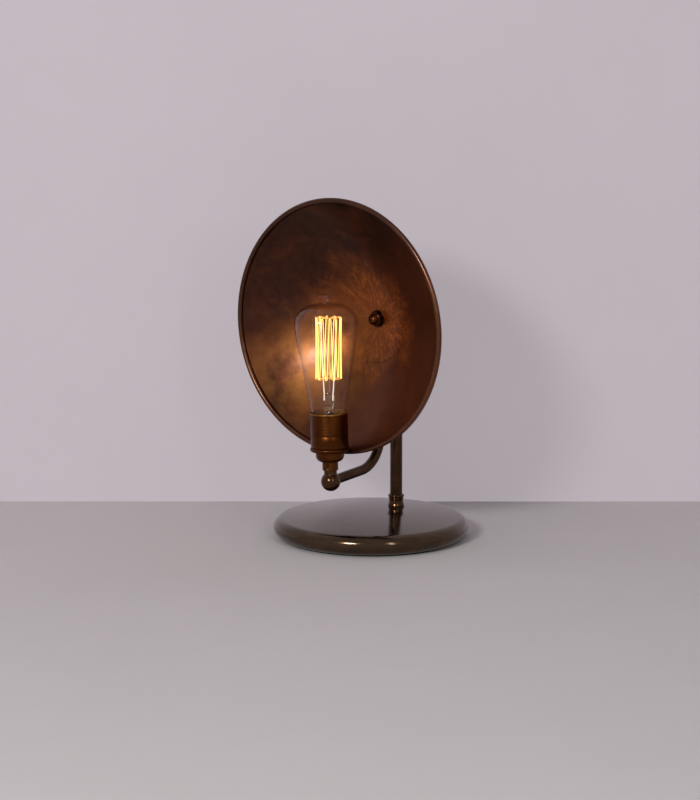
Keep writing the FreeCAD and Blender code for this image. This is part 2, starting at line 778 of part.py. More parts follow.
def arm_corner():
    """Where the arm's two legs would meet if the tube had no bend, in the arm's frame."""
    rise = math.radians(s.arm_rise.number)
    lean = math.radians(s.arm_lean.number)
    width = arm_ball_y.number - elbow_y.number
    drop = arm_drop.number
    # lower leg: (t cos rise, t sin rise); upper leg: (width - u sin lean, drop - u cos lean)
    run = (width * math.cos(lean) - drop * math.sin(lean)) / math.cos(rise + lean)
    y = elbow_y.number + run * math.cos(rise)
    return FreeCAD.Vector(0, y, run * math.sin(rise) - drop)


def arm_tube():
    """The bent arm tube, swept along two straight legs and the bend between them."""
    body = doc.addObject("PartDesign::Body", "arm_body")
    path = flat_sketch(body, "arm_path", "YZ_Plane")
    elbow = FreeCAD.Vector(elbow_y.number, -arm_drop.number, 0)
    ball = FreeCAD.Vector(arm_ball_y.number, 0, 0)
    corner_3d = arm_corner()
    corner = FreeCAD.Vector(corner_3d.y, corner_3d.z, 0)
    lower = (corner - elbow).normalize()
    upper = (ball - corner).normalize()
    reach = s.arm_bend.number * math.tan(lower.getAngle(upper) / 2)
    bend_start = corner - lower * reach
    bend_end = corner + upper * reach
    leg_start = elbow + lower * s.arm_inset.number
    leg_end = ball - upper * s.arm_inset.number
    sideways = FreeCAD.Vector(-lower.y, lower.x, 0)
    centre = bend_start + sideways * s.arm_bend.number
    circle = Part.Circle(centre, FreeCAD.Vector(0, 0, 1), s.arm_bend.number)
    from_angle = math.atan2(bend_start.y - centre.y, bend_start.x - centre.x)
    to_angle = math.atan2(bend_end.y - centre.y, bend_end.x - centre.x)
    path.addGeometry(Part.LineSegment(leg_start, bend_start), False)
    path.addGeometry(Part.ArcOfCircle(circle, from_angle, to_angle), False)
    path.addGeometry(Part.LineSegment(bend_end, leg_end), False)
    path.addGeometry(Part.LineSegment(elbow, leg_start), True)
    path.addGeometry(Part.LineSegment(leg_end, ball), True)
    lower_leg, bend, upper_leg, lower_inset, upper_inset = range(5)
    add = path.addConstraint
    add(Sketcher.Constraint("Tangent", lower_leg, POINT.end, bend, POINT.start))
    add(Sketcher.Constraint("Tangent", bend, POINT.end, upper_leg, POINT.start))
    add(Sketcher.Constraint("Coincident", lower_inset, POINT.end, lower_leg, POINT.start))
    add(Sketcher.Constraint("Coincident", upper_leg, POINT.end, upper_inset, POINT.start))
    add(Sketcher.Constraint("Parallel", lower_inset, lower_leg))
    add(Sketcher.Constraint("Parallel", upper_inset, upper_leg))
    fix_point(path, lower_inset, POINT.start, "elbow", elbow_y, -arm_drop)
    fix_point(path, upper_inset, POINT.end, "ball", arm_ball_y, None)
    add(Sketcher.Constraint("PointOnObject", upper_inset, POINT.end, ORIGIN))
    slope = s.arm_rise
    upright = as_size(RIGHT_ANGLE) - s.arm_lean
    sized = (("rise", Sketcher.Constraint("Angle", lower_leg, math.radians(slope.number)), slope),
             ("lean", Sketcher.Constraint("Angle", upper_leg, math.radians(upright.number)),
              upright),
             ("bend", Sketcher.Constraint("Radius", bend, s.arm_bend.number), s.arm_bend),
             ("low", Sketcher.Constraint("Distance", lower_inset, s.arm_inset.number),
              s.arm_inset),
             ("high", Sketcher.Constraint("Distance", upper_inset, s.arm_inset.number),
              s.arm_inset))
    for name, rule, size in sized:
        path.renameConstraint(add(rule), name)
        bind(path, "Constraints." + name, size)
    doc.recompute()
    section = body.newObject("Sketcher::SketchObject", "arm_section")
    section.AttachmentSupport = [(path, "Edge1")]
    section.MapMode = "NormalToEdge"
    for radius, name in ((s.arm_radius, "outside"), (s.arm_radius - s.arm_wall, "inside")):
        middle = FreeCAD.Vector(0, 0, 0)
        ring = section.addGeometry(Part.Circle(middle, FreeCAD.Vector(0, 0, 1), radius.number))
        section.addConstraint(Sketcher.Constraint("Coincident", ring, POINT.centre, ORIGIN, POINT.start))
        rule = section.addConstraint(Sketcher.Constraint("Radius", ring, radius.number))
        section.renameConstraint(rule, name)
        bind(section, "Constraints." + name, radius)
    pipe = body.newObject("PartDesign::AdditivePipe", "arm_sweep")
    pipe.Profile = section
    pipe.Spine = (path, ["Edge1", "Edge2", "Edge3"])
    keep(body, "arm_tube", ARM)


def elbow_ball():
    """The ball under the lampholder, with a boss above and the arm entering behind."""
    ball = solid("Part::Sphere", "elbow_ball_blank", Radius=s.elbow_ball)
    boss = solid("Part::Cylinder", "elbow_boss", Radius=s.elbow_boss, Height=s.elbow_boss_top)
    up = drill("elbow_up", threaded_bore, s.elbow_boss_top, pose())
    back = drill("elbow_back", s.arm_radius + s.thread_gap, s.elbow_ball,
                 pose(axis=(-1, 0, 0), angle=as_size(RIGHT_ANGLE) - s.arm_rise))
    keep(cut(fuse(ball, boss), up, back), "elbow_ball", HOLDER)


# --------------------------------------------------------------------------------------
# Lampholder
# --------------------------------------------------------------------------------------
def holder_neck():
    """The threaded neck with its grub screw, and the nipple that runs through it."""
    locknut_top = s.neck_top + s.holder_sheet + s.locknut_height
    nipple = tube("neck_nipple_bar", nipple_bore, s.nipple_radius, s.ball_core, locknut_top)
    keep(nipple, "neck_nipple", HOLDER)
    ease = s.holder_sheet / 2
    sleeve = turned("neck_sleeve", [
        to(threaded_bore, s.elbow_boss_top),
        to(s.neck_radius - ease, s.elbow_boss_top),
        to(s.neck_radius, s.elbow_boss_top + ease),
        to(s.neck_radius, s.neck_top),
        to(threaded_bore, s.neck_top)])
    facing = pose(z=s.grub_height, axis=(1, 0, 0), angle=RIGHT_ANGLE)
    hole = drill("grub_hole", s.grub_radius + s.thread_gap, s.neck_radius, facing)
    turned_neck = HOLDER + " * " + pose(angle=s.grub_angle)
    keep(cut(sleeve, hole), "holder_neck", turned_neck)
    screw_start = pose(y=-threaded_bore, z=s.grub_height, axis=(1, 0, 0), angle=RIGHT_ANGLE)
    screw = drill("grub_bar", s.grub_radius, s.grub_length, screw_start)
    socket_start = pose(y=-threaded_bore - s.grub_length / 2, z=s.grub_height,
                        axis=(1, 0, 0), angle=RIGHT_ANGLE)
    socket = hexagon("grub_socket", s.grub_radius, s.grub_length, socket_start)
    keep(cut(screw, socket), "neck_grub_screw", turned_neck)
    nut_bottom = pose(z=s.neck_top + s.holder_sheet)
    bar = hexagon("cap_nut_bar", s.locknut_across, s.locknut_height, nut_bottom)
    thread = drill("cap_nut_thread", threaded_bore, s.locknut_height, nut_bottom)
    keep(cut(bar, thread), "cap_locknut", HOLDER)


def holder_cap():
    """The lower cup of the lampholder, rounded below and rolled out into a ring above."""
    inner_cup = s.cup_radius - s.holder_sheet
    inner_round = s.cup_round - s.holder_sheet
    floor = s.neck_top + s.holder_sheet
    bottom_flat = s.cup_radius - s.cup_round
    round_top = s.neck_top + s.cup_round
    step_top = s.cup_top + s.holder_sheet
    ring_half = (s.ring_top - s.cup_top) / 2
    ring_middle = s.cup_top + ring_half
    ring_centre = s.ring_radius - ring_half
    cap = turned("cap_pressing", [
        to(threaded_bore, s.neck_top),
        to(bottom_flat, s.neck_top),
        round_to(s.cup_radius, round_top, bottom_flat, round_top, 1),
        to(s.cup_radius, s.cup_top),
        to(ring_centre, s.cup_top),
        round_to(ring_centre, s.ring_top, ring_centre, ring_middle, 1),
        to(ring_centre, step_top),
        to(inner_cup, step_top),
        to(inner_cup, round_top),
        round_to(bottom_flat, floor, bottom_flat, round_top, -1),
        to(threaded_bore, floor),
    ])
    keep(cap, "holder_cap", HOLDER)


def holder_skirt():
    """The straight sleeve round the porcelain, with a fine thread on its upper part."""
    bottom = s.ring_top
    inner = s.skirt_radius - s.holder_sheet
    crest = s.skirt_radius + s.skirt_crest
    groove_floor = crest - s.skirt_thread
    half = s.skirt_pitch / 2
    threads = int((s.skirt_top.number - s.skirt_smooth_top.number) / s.skirt_pitch.number) - 1
    corners = [to(inner, bottom), to(s.skirt_radius, bottom), to(s.skirt_radius, s.skirt_smooth_top)]
    for turn in range(threads):
        start = s.skirt_smooth_top + s.skirt_pitch * turn
        corners.append(to(groove_floor, start + half / 2))
        corners.append(to(crest, start + half))
        corners.append(to(crest, start + s.skirt_pitch))
    corners.append(to(crest, s.skirt_top - s.skirt_thread))
    corners.append(to(groove_floor, s.skirt_top))
    corners.append(to(inner, s.skirt_top))
    keep(turned("skirt_sleeve", corners), "holder_skirt", HOLDER)


def porcelain():
    """The insulating body: a cup for the lamp thread over a boss for the terminals."""
    step = s.cup_top + s.holder_sheet
    bore = s.shell_root + s.shell_sheet + s.thread_gap * 2
    body = turned("porcelain_body", [
        to(0, s.porcelain_bottom),
        to(s.porcelain_boss, s.porcelain_bottom),
        to(s.porcelain_boss, step),
        to(s.porcelain_radius, step),
        to(s.porcelain_radius, s.porcelain_top),
        to(bore, s.porcelain_top),
        to(bore, s.porcelain_floor),
        to(0, s.porcelain_floor)])
    keep(body, "porcelain_insert", HOLDER)


def thread_shell():
    """The brass screw shell inside the porcelain, one rolled ridge for each turn."""
    bottom = s.porcelain_floor + s.shell_sheet
    quarter = s.lamp_pitch / 4
    turns = int((s.porcelain_top.number - bottom.number) / s.lamp_pitch.number)
    inside = [to(s.shell_root, bottom)]
    for turn in range(turns):
        start = bottom + s.lamp_pitch * turn
        inside.append(to(s.shell_crest, start + quarter))
        inside.append(to(s.shell_crest, start + quarter * 2))
        inside.append(to(s.shell_root, start + quarter * 3))
        inside.append(to(s.shell_root, start + quarter * 4))
    top = bottom + s.lamp_pitch * turns
    outer = s.shell_root + s.shell_sheet
    corners = inside + [to(outer, top), to(outer, bottom - s.shell_sheet),
                        to(s.shell_lip, bottom - s.shell_sheet),
                        to(s.shell_lip, bottom)]
    keep(turned("screw_shell", corners), "thread_shell", HOLDER)


def contacts():
    """The springy centre contact and the two terminal screws under the porcelain."""
    strip_bottom = s.porcelain_floor
    strip_top = s.bulb_seat - s.swivel_play * 2
    rivet_radius = s.contact_width / 4
    post = solid("Part::Cylinder", "contact_post", Radius=rivet_radius,
                 Height=strip_top - strip_bottom)
    stand(post, pose(z=strip_bottom))
    leaf = solid("Part::Box", "contact_leaf", Length=s.contact_width, Width=s.contact_reach,
                 Height=s.contact_strip)
    stand(leaf, pose(x=-(s.contact_width / 2), y=-(s.contact_reach / 2),
                     z=strip_top - s.contact_strip))
    keep(fuse(post, leaf), "centre_contact", HOLDER)
    heads = []
    for name, side in (("left", -1), ("right", 1)):
        place = pose(x=s.terminal_spacing * side, z=s.porcelain_bottom - s.terminal_height)
        head = drill("terminal_" + name, s.terminal_radius, s.terminal_height, place)
        slot = solid("Part::Box", "terminal_slot_" + name, Length=s.contact_strip,
                     Width=s.terminal_radius * 2, Height=s.contact_strip)
        stand(slot, pose(x=s.terminal_spacing * side - s.contact_strip / 2,
                         y=-s.terminal_radius, z=s.porcelain_bottom - s.terminal_height))
        heads.append(cut(head, slot))
    keep(group("terminals", heads), "terminal_screws", HOLDER)


# --------------------------------------------------------------------------------------
# Wiring inside the lamp
# --------------------------------------------------------------------------------------
def flex_in_base_and_stem():
    """The lower flex: from the inlet, through the weight's channel and up the stem."""
    height = inlet_height.number
    stem = s.stem_setback.number
    low = weight_bottom.number
    bush = s.base_radius.number + s.inlet_proud.number - s.inlet_length.number
    slope_start = bush - s.flex_straight.number
    points = [
        (0, bush, height),
        (0, slope_start, height),
        (0, slope_start - s.flex_slope.number, low + s.flex_slope_foot.number),
        (0, stem, low),
        (0, stem, s.pivot_height.number),
        (0, swivel_front.number, s.pivot_height.number),
    ]
    bends = [12.0, 30.0, 7.0, s.flex_bend.number]
    route = [FreeCAD.Vector(*point) for point in points]
    keep(shaped("flex_lower_run", wire_along(route, bends, s.flex_radius.number, "flex_lower")),
         "flex_lower")


def flex_in_arm():
    """The upper flex: from the swivel, down the arm and up into the lampholder."""
    corner = arm_corner()
    end_height = s.porcelain_bottom.number - s.terminal_height.number - s.lead_radius.number * 2
    route = [
        FreeCAD.Vector(0, swivel_front.number, 0),
        FreeCAD.Vector(0, arm_ball_y.number, 0),
        corner,
        FreeCAD.Vector(0, elbow_y.number, -arm_drop.number),
        FreeCAD.Vector(0, elbow_y.number, end_height - arm_drop.number),
    ]
    bends = [s.flex_bend.number, s.arm_bend.number, s.flex_bend.number]
    keep(shaped("flex_upper_run", wire_along(route, bends, s.flex_radius.number, "flex_upper")),
         "flex_upper", ARM)


def lead_ends():
    """The two leads from the flex's end to the terminal screws."""
    start = s.porcelain_bottom.number - s.terminal_height.number - s.lead_radius.number * 2
    rise = s.lead_radius.number
    leads = []
    for side in (-1, 1):
        out = side * (s.terminal_spacing.number + s.terminal_radius.number)
        points = [(side * s.lead_radius.number, 0, start), (out, 0, start)]
        route = [FreeCAD.Vector(x, y, z + rise) for x, y, z in points]
        run = Part.makeCylinder(rise, (route[1] - route[0]).Length, route[0],
                                route[1] - route[0])
        leads.append(run)
    keep(shaped("lead_runs", Part.makeCompound(leads)), "lead_ends", HOLDER)


# --------------------------------------------------------------------------------------
# Bulb
# --------------------------------------------------------------------------------------
def bulb_cap():
    """The screw cap, its dark glass insulator and the centre button."""
    button_top = s.bulb_button_height
    button = turned("cap_button", [
        to(0, 0), to(s.bulb_button - button_top / 2, 0),
        to(s.bulb_button, button_top / 2),
        to(s.bulb_button, button_top), to(0, button_top)])
    keep(button, "bulb_contact", BULB)
    insulator_top = button_top + s.bulb_insulator_height
    inner = s.bulb_root - s.bulb_cap_sheet
    insulator = turned("cap_insulator", [
        to(0, button_top), to(s.bulb_insulator_foot, button_top), to(inner, insulator_top),
        to(0, insulator_top)])
    keep(insulator, "bulb_insulator", BULB)
    quarter = s.lamp_pitch / 4
    threaded = s.bulb_cap_height.number - insulator_top.number
    corners = [to(s.bulb_root - s.bulb_cap_sheet, insulator_top), to(s.bulb_root, insulator_top)]
    for turn in range(int(threaded / s.lamp_pitch.number)):
        start = insulator_top + s.lamp_pitch * turn
        corners.append(to(s.bulb_root, start + quarter))
        corners.append(to(s.bulb_crest, start + quarter * 2))
        corners.append(to(s.bulb_crest, start + quarter * 3))
        corners.append(to(s.bulb_root, start + quarter * 4))
    corners.append(to(s.bulb_root, s.bulb_cap_height))
    corners.append(to(s.bulb_root - s.bulb_cap_sheet, s.bulb_cap_height))
    keep(turned("cap_screw", corners), "bulb_cap", BULB)


def glass_outline(inset):
    """Corners of the bulb's glass, set in from its outside by the wall or by nothing."""
    side_radius = s.glass_radius - s.glass_shoulder
    drop = s.glass_belly_height - s.glass_cone_height
    lean = (s.glass_radius - s.glass_rim_radius) / (s.glass_cone_height - s.glass_rim_height)
    cone_top = s.glass_radius - drop * lean / 2 - inset
    flank = (drop * drop + (s.glass_radius - inset - cone_top)
             * (s.glass_radius - inset - cone_top)) / ((s.glass_radius - inset - cone_top) * 2)
    neck_bottom = s.bulb_cap_height - s.glass_wall * 2
    cap_fit = s.bulb_root - s.bulb_cap_sheet - s.thread_gap * 4 - inset
    shoulder = s.glass_shoulder - inset
    shoulder_top = s.glass_belly_height + shoulder
    return [
        to(cap_fit, neck_bottom),
        to(cap_fit, s.bulb_cap_height + s.glass_wall),
        to(s.glass_rim_radius - inset - s.neck_ease, s.glass_rim_height - s.neck_ease * 3),
        to(s.glass_rim_radius - inset, s.glass_rim_height),
        to(cone_top, s.glass_cone_height),
        round_to(s.glass_radius - inset, s.glass_belly_height,
                 s.glass_radius - inset - flank, s.glass_belly_height, 1),
        round_to(side_radius, shoulder_top, side_radius, s.glass_belly_height, 1),
    ]


def bulb_glass():
    """The blown envelope, closed at the top by its melted tip."""
    outer = glass_outline(ZERO)
    inner = glass_outline(s.glass_wall)
    tip_middle = s.tip_top - s.tip_waist
    outside = outer + [
        to(s.tip_neck, s.glass_top),
        to(s.tip_radius, tip_middle),
        to(s.tip_crown, s.tip_top - s.tip_drop),
        to(0, s.tip_top)]
    envelope = turned("glass_blown", outside + [to(0, outer[0].y)])
    hollow = turned("glass_hollow", inner + [
        to(s.tip_neck, s.glass_top - s.glass_wall), to(0, s.glass_top - s.glass_wall),
        to(0, inner[0].y)])
    keep(cut(envelope, hollow), "bulb_glass", BULB)


def bulb_mount():
    """The glass stem: a flare in the cap, the flat press and the rod that holds the cage."""
    flare_bottom = s.bulb_cap_height
    neck = s.press_width / 2
    press_middle = (s.press_bottom + s.press_top) / 2
    flare = turned("mount_flare", [
        to(0, flare_bottom - s.glass_wall), to(s.flare_radius, flare_bottom - s.glass_wall),
        to(s.flare_radius, flare_bottom), to(neck, flare_bottom + s.press_width),
        to(neck, press_middle), to(0, press_middle)])
    press = solid("Part::Box", "mount_press", Length=s.press_width * 2,
                  Width=s.press_thickness * 2, Height=s.press_top - s.press_bottom)
    stand(press, pose(x=-s.press_width, y=-s.press_thickness, z=s.press_bottom))
    rod = solid("Part::Cylinder", "mount_rod", Radius=s.glass_rod,
                Height=s.cage_top - s.press_bottom)
    stand(rod, pose(z=s.press_bottom))
    keep(fuse(flare, press, rod), "bulb_mount", BULB)


def cage_point(step, height, radius):
    """A point of the cage, at an angle counted in hook spacings."""
    angle = 2 * math.pi * step / CAGE_HOOKS
    return FreeCAD.Vector(radius * math.cos(angle), radius * math.sin(angle), height)


def filament():
    """The squirrel cage: one wire zigzagging between the upper and the lower hooks."""
    radius = s.cage_radius.number
    half_gap = s.hairpin_gap.number / 2
    side = half_gap / (2 * math.pi * radius / CAGE_HOOKS)
    points = []
    for hook in range(CAGE_HOOKS):
        for height, middle in ((s.cage_bottom.number, hook), (s.cage_top.number, hook + 0.5)):
            points.append(cage_point(middle - side, height, radius))
            points.append(cage_point(middle + side, height, radius))
    strands = points[1:-1]
    # a hairpin's two corners are rounded until they almost meet
    bends = [half_gap * 0.9] * (len(strands) - 2)
    wire = wire_along(strands, bends, s.cage_wire.number, "filament")
    keep(shaped("filament_wire", wire), "filament", BULB)


def cage_hooks():
    """The fine wires that fan out from the glass rod and carry the cage."""
    reach = s.cage_radius.number - s.cage_wire.number - s.hook_wire.number * 2
    start = s.glass_rod.number + s.hook_wire.number
    wires = []
    for hook in range(CAGE_HOOKS):
        for height, middle in ((s.cage_bottom.number, hook), (s.cage_top.number, hook + 0.5)):
            inner = cage_point(middle, height - s.glass_rod.number, start)
            outer = cage_point(middle, height, reach)
            wires.append(Part.makeCylinder(s.hook_wire.number, (outer - inner).Length, inner,
                                           outer - inner))
    keep(shaped("hook_wires", Part.makeCompound(wires)), "cage_hooks", BULB)


def lead_in_wires():
    """The two stout wires from the press to either side of the cage, between two hooks."""
    wires = []
    foot_height = s.press_top.number + s.lead_in_wire.number
    head_height = s.cage_top.number - s.lead_in_drop.number
    for half_turn in (0, CAGE_HOOKS / 2):
        foot = cage_point(half_turn + 0.5, foot_height, s.lead_in_foot.number)
        head = cage_point(half_turn + 0.5, head_height, s.lead_in_head.number)
        wires.append(Part.makeCylinder(s.lead_in_wire.number, (head - foot).Length, foot,
                                       head - foot))
    keep(shaped("lead_in_runs", Part.makeCompound(wires)), "lead_in_wires", BULB)


# --------------------------------------------------------------------------------------
# Make the lamp, check it and write it
# --------------------------------------------------------------------------------------
def check_and_write():
    """Stops on any failed object or bad shape, then writes one file for each piece."""
    failed = [item.Label for item in doc.Objects
              if "Invalid" in item.State or "Error" in item.State]
    if failed:
        raise RuntimeError("failed objects: %s" % failed)
    for part in PARTS:
        shape = part.Shape
        if shape.isNull() or not shape.isValid() or not shape.Solids:
            raise RuntimeError("bad shape: %s" % part.Label)
    for part in PARTS:
        part.Shape.exportStep("parts/%s.step" % part.Label)
        print("%-18s %9.1f mm3, %d solid" % (part.Label, part.Shape.Volume,
                                             len(part.Shape.Solids)))
    print("%d pieces, rim plane at y %.2f, elbow at y %.2f" % (
        len(PARTS), rim_y.number, elbow_y.number))


for make in (base_shell, base_weight, base_felt, base_inlet, stem_foot, stem_collar, stem_tube,
             stem_ball, swivel, dish, dish_fixings, dome_nut, arm_ball, arm_tube, elbow_ball,
             holder_neck, holder_cap, holder_skirt, porcelain, thread_shell, contacts,
             flex_in_base_and_stem, flex_in_arm, lead_ends, bulb_cap, bulb_glass, bulb_mount,
             filament, cage_hooks, lead_in_wires):
    make()
doc.recompute()
check_and_write()
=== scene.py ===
# %% [markdown]
# # A bare bulb in front of a patinated copper dish
# This notebook dresses the engineering model of a table lamp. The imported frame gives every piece
# its true place. The visible pieces are then drawn again as smooth surfaces, each one written as
# a formula of two parameters, and every piece gets a finish built from noise and shape alone.
# Lengths are in millimetres until the last step, which turns them into metres.

# %% Load the frame
import json
import math

import bmesh
import bpy
import numpy as np
from mathutils import Matrix, Vector


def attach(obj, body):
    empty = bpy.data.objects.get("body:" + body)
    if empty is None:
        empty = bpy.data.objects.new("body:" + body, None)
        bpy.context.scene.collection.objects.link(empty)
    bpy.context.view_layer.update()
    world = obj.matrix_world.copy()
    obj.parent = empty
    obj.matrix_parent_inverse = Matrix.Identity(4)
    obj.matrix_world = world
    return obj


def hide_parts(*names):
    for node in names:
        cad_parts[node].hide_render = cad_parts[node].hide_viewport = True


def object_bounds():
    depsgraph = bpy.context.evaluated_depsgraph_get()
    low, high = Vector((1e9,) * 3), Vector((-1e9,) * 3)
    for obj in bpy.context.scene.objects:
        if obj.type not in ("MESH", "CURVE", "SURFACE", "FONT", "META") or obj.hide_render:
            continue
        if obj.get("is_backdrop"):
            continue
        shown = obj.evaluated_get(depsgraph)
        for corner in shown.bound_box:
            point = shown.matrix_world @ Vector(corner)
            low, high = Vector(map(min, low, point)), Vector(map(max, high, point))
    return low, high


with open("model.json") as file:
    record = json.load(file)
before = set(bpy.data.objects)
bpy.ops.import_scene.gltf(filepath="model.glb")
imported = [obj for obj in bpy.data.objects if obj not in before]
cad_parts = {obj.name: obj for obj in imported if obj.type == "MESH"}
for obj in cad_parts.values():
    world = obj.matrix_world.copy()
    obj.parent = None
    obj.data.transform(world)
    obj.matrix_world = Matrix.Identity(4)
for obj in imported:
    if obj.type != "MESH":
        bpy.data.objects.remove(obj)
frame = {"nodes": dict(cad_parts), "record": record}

MM = 0.001
NODES = frame["nodes"]
start_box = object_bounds()
print(len(NODES), "nodes, box", [tuple(round(c / MM, 1) for c in corner) for corner in start_box])

# %% [markdown]
# ## The sizes that place everything
# These are the driving sizes of the engineering model. The stem stands behind the base's centre.
# The arm hangs from the centre bolt, two degrees to the right, and carries dish, holder and bulb.

# %% Sizes and frames of reference
BASE_DOME = 900.0
EDGE_RADIUS = 10.0
EDGE_ACROSS = 90.0
EDGE_HEIGHT = 11.5
STEM_SETBACK = 42.6
STEM_RADIUS = 6.35
PIVOT_HEIGHT = 224.5
ARM_SWING = 2.0
ARM_BALL_Y = 22.0
STEM_BALL = 10.0
STEM_FLAT = 7.7
ARM_BALL = 9.5
ARM_FLAT = 7.2
THREAD_BORE = 5.05
STUD_HOLE = 4.05
DISH_FRONT = 11.0
DISH_SHEET = 1.0
DISH_RADIUS = 128.7
RIM_Y = -55.79
ELBOW_Y = -73.09
ARM_DROP = 154.2
BULB_SEAT = 39.0


def move(x=0.0, y=0.0, z=0.0):
    """A shift, as a 4 by 4 matrix."""
    matrix = np.eye(4)
    matrix[:3, 3] = (x, y, z)
    return matrix


def turn(axis, degrees):
    """A turn about an axis through the origin, as a 4 by 4 matrix."""
    return np.array(Matrix.Rotation(math.radians(degrees), 4, Vector(axis)))


STEM = move(y=STEM_SETBACK)
BOLT = move(z=PIVOT_HEIGHT)
ARM = BOLT @ turn((0, -1, 0), ARM_SWING)
HOLDER = ARM @ move(y=ELBOW_Y, z=-ARM_DROP)
BULB = HOLDER @ move(z=BULB_SEAT)
# turns a piece drawn upright so that its own +Z faces the front, -Y
FACING_FRONT = turn((1, 0, 0), 90)
print("elbow ball at", HOLDER[:3, 3].round(2), "mm")

# %% [markdown]
# ## Outlines
# A turned piece starts as an outline in two numbers: the distance from the axis and the height
# along it. No real edge is perfectly sharp, so each corner takes a small radius. A pair of extra
# points beside each corner keeps flat faces flat where the shading is smoothed. The corners also
# carry a number called wear, which the finishes use to rub the patina off the outer edges.


# %% Outline tools
def arc(centre_across, centre_along, radius, start, end, steps):
    """Points centre + radius * (cos t, sin t), with t running from start to end in degrees."""
    t = np.radians(np.linspace(start, end, steps + 1))
    return np.stack([centre_across + radius * np.cos(t), centre_along + radius * np.sin(t)], 1)


def plain(points):
    """An outline without wear."""
    points = np.asarray(points, float)
    return points, np.zeros(len(points))


def joined(*outlines):
    """One outline from several, end to end."""
    points = np.concatenate([outline[0] for outline in outlines])
    wear = np.concatenate([outline[1] for outline in outlines])
    return points, wear


def rounded(corners, closed=False, steps=4):
    """An outline through (across, along, radius) corners, with an arc at each corner.

    The arc touches both sides at radius / tan(half the corner's inner angle) from the corner.
    """
    corners = np.asarray(corners, float)
    points, wear = [], []
    for index, (across, along, radius) in enumerate(corners):
        here = corners[index, :2]
        if radius == 0 or (not closed and index in (0, len(corners) - 1)):
            points.append(here)
            wear.append(0.0)
            continue
        back = corners[index - 1, :2] - here
        ahead = corners[(index + 1) % len(corners), :2] - here
        convex = back[1] * ahead[0] - back[0] * ahead[1] < 0
        back = back / np.linalg.norm(back)
        ahead = ahead / np.linalg.norm(ahead)
        half = math.acos(np.clip(back @ ahead, -1, 1)) / 2
        reach = radius / math.tan(half)
        middle = (back + ahead) / np.linalg.norm(back + ahead)
        centre = here + middle * radius / math.sin(half)
        first = here + back * reach - centre
        last = here + ahead * reach - centre
        begin = math.atan2(first[1], first[0])
        sweep = (math.atan2(last[1], last[0]) - begin + math.pi) % (2 * math.pi) - math.pi
        t = begin + sweep * np.linspace(0, 1, steps + 1)
        bend = centre + radius * np.stack([np.cos(t), np.sin(t)], 1)
        hold = radius * 0.25
        points += [bend[0] + back * hold, *bend, bend[-1] + ahead * hold]
        rub = np.sin(np.linspace(0, math.pi, steps + 1)) if convex else np.zeros(steps + 1)
        wear += [0.0, *rub, 0.0]
    return np.array(points), np.array(wear)


sample_corner = rounded([(0, 0, 0), (5, 0, 1), (5, 5, 0)])[0]
print("a corner with a radius becomes", len(sample_corner) - 2, "points")

# %% [markdown]
# ## Surfaces
# Every new piece is a grid of points: rows follow the outline or the path, and columns go round
# it. Points that fall together, as at the pole of a ball, are welded. The grid also gives each
# piece two coordinates of its own: turns round the axis, and metres along the outline.


# %% Surface tools
def placed(grid, place):
    """Moves a grid of points by a 4 by 4 matrix."""
    return grid @ place[:3, :3].T + place[:3, 3]


def round_grid(radii, heights, angles):
    """The points (r cos t, r sin t, h) for rows of radii and heights and columns of angles."""
    flat = np.zeros(len(angles))
    return np.stack([radii * np.cos(angles), radii * np.sin(angles), heights + flat], 2)


def surface(name, grid, wear=None, closed=False):
    """A smooth mesh over rows and rings of points, welded where the points meet."""
    rows, columns = grid.shape[:2]
    number = np.arange(rows * columns).reshape(rows, columns)
    along = np.linalg.norm(np.diff(grid, axis=0), axis=2).mean(1) * MM
    along = np.concatenate([[0.0], np.cumsum(along)])
    if closed:
        number = np.vstack([number, number[:1]])
        along = np.append(along, along[-1] + np.linalg.norm(grid[0, 0] - grid[-1, 0]) * MM)
    low, high = number[:-1], number[1:]
    faces = np.stack([low, np.roll(low, -1, 1), np.roll(high, -1, 1), high], 2).reshape(-1, 4)
    mesh = bpy.data.meshes.new(name)
    mesh.from_pydata((grid.reshape(-1, 3) * MM).tolist(), [], faces.tolist())
    u = np.tile(np.arange(columns) / columns, (len(number) - 1, 1))
    v = np.repeat(along[:-1, None], columns, 1)
    step_u = 1 / columns
    step_v = np.repeat(np.diff(along)[:, None], columns, 1)
    uv = np.stack([np.stack([u, v], 2), np.stack([u + step_u, v], 2),
                   np.stack([u + step_u, v + step_v], 2), np.stack([u, v + step_v], 2)], 2)
    layer = mesh.uv_layers.new(name="UVMap")
    layer.data.foreach_set("uv", uv.reshape(-1))
    wear_and_tone = mesh.attributes.new("wear", "FLOAT", "POINT")
    values = np.zeros(rows * columns) if wear is None else np.repeat(wear, columns)
    wear_and_tone.data.foreach_set("value", values)
    shape = bmesh.new()
    shape.from_mesh(mesh)
    bmesh.ops.remove_doubles(shape, verts=shape.verts, dist=1e-7)
    bmesh.ops.recalc_face_normals(shape, faces=shape.faces)
    for face in shape.faces:
        face.smooth = True
    shape.to_mesh(mesh)
    shape.free()
    piece = bpy.data.objects.new(name, mesh)
    bpy.context.scene.collection.objects.link(piece)
    return piece


def lathe(name, outline, place, around=128, closed=False):
    """Turns an outline: the point (r, h) at angle t goes to (r cos t, r sin t, h)."""
    points, wear = outline
    t = np.linspace(0, 2 * math.pi, around, endpoint=False)
    grid = round_grid(points[:, :1], points[:, 1:], t)
    return surface(name, placed(grid, place), wear, closed)


def ring(name, inner, outer, low, high, edge, place):
    """A turned ring with a small radius on each of its four edges."""
    outline = rounded([(inner, low, edge), (outer, low, edge), (outer, high, edge),
                       (inner, high, edge)], closed=True)
    return lathe(name, outline, place, closed=True)


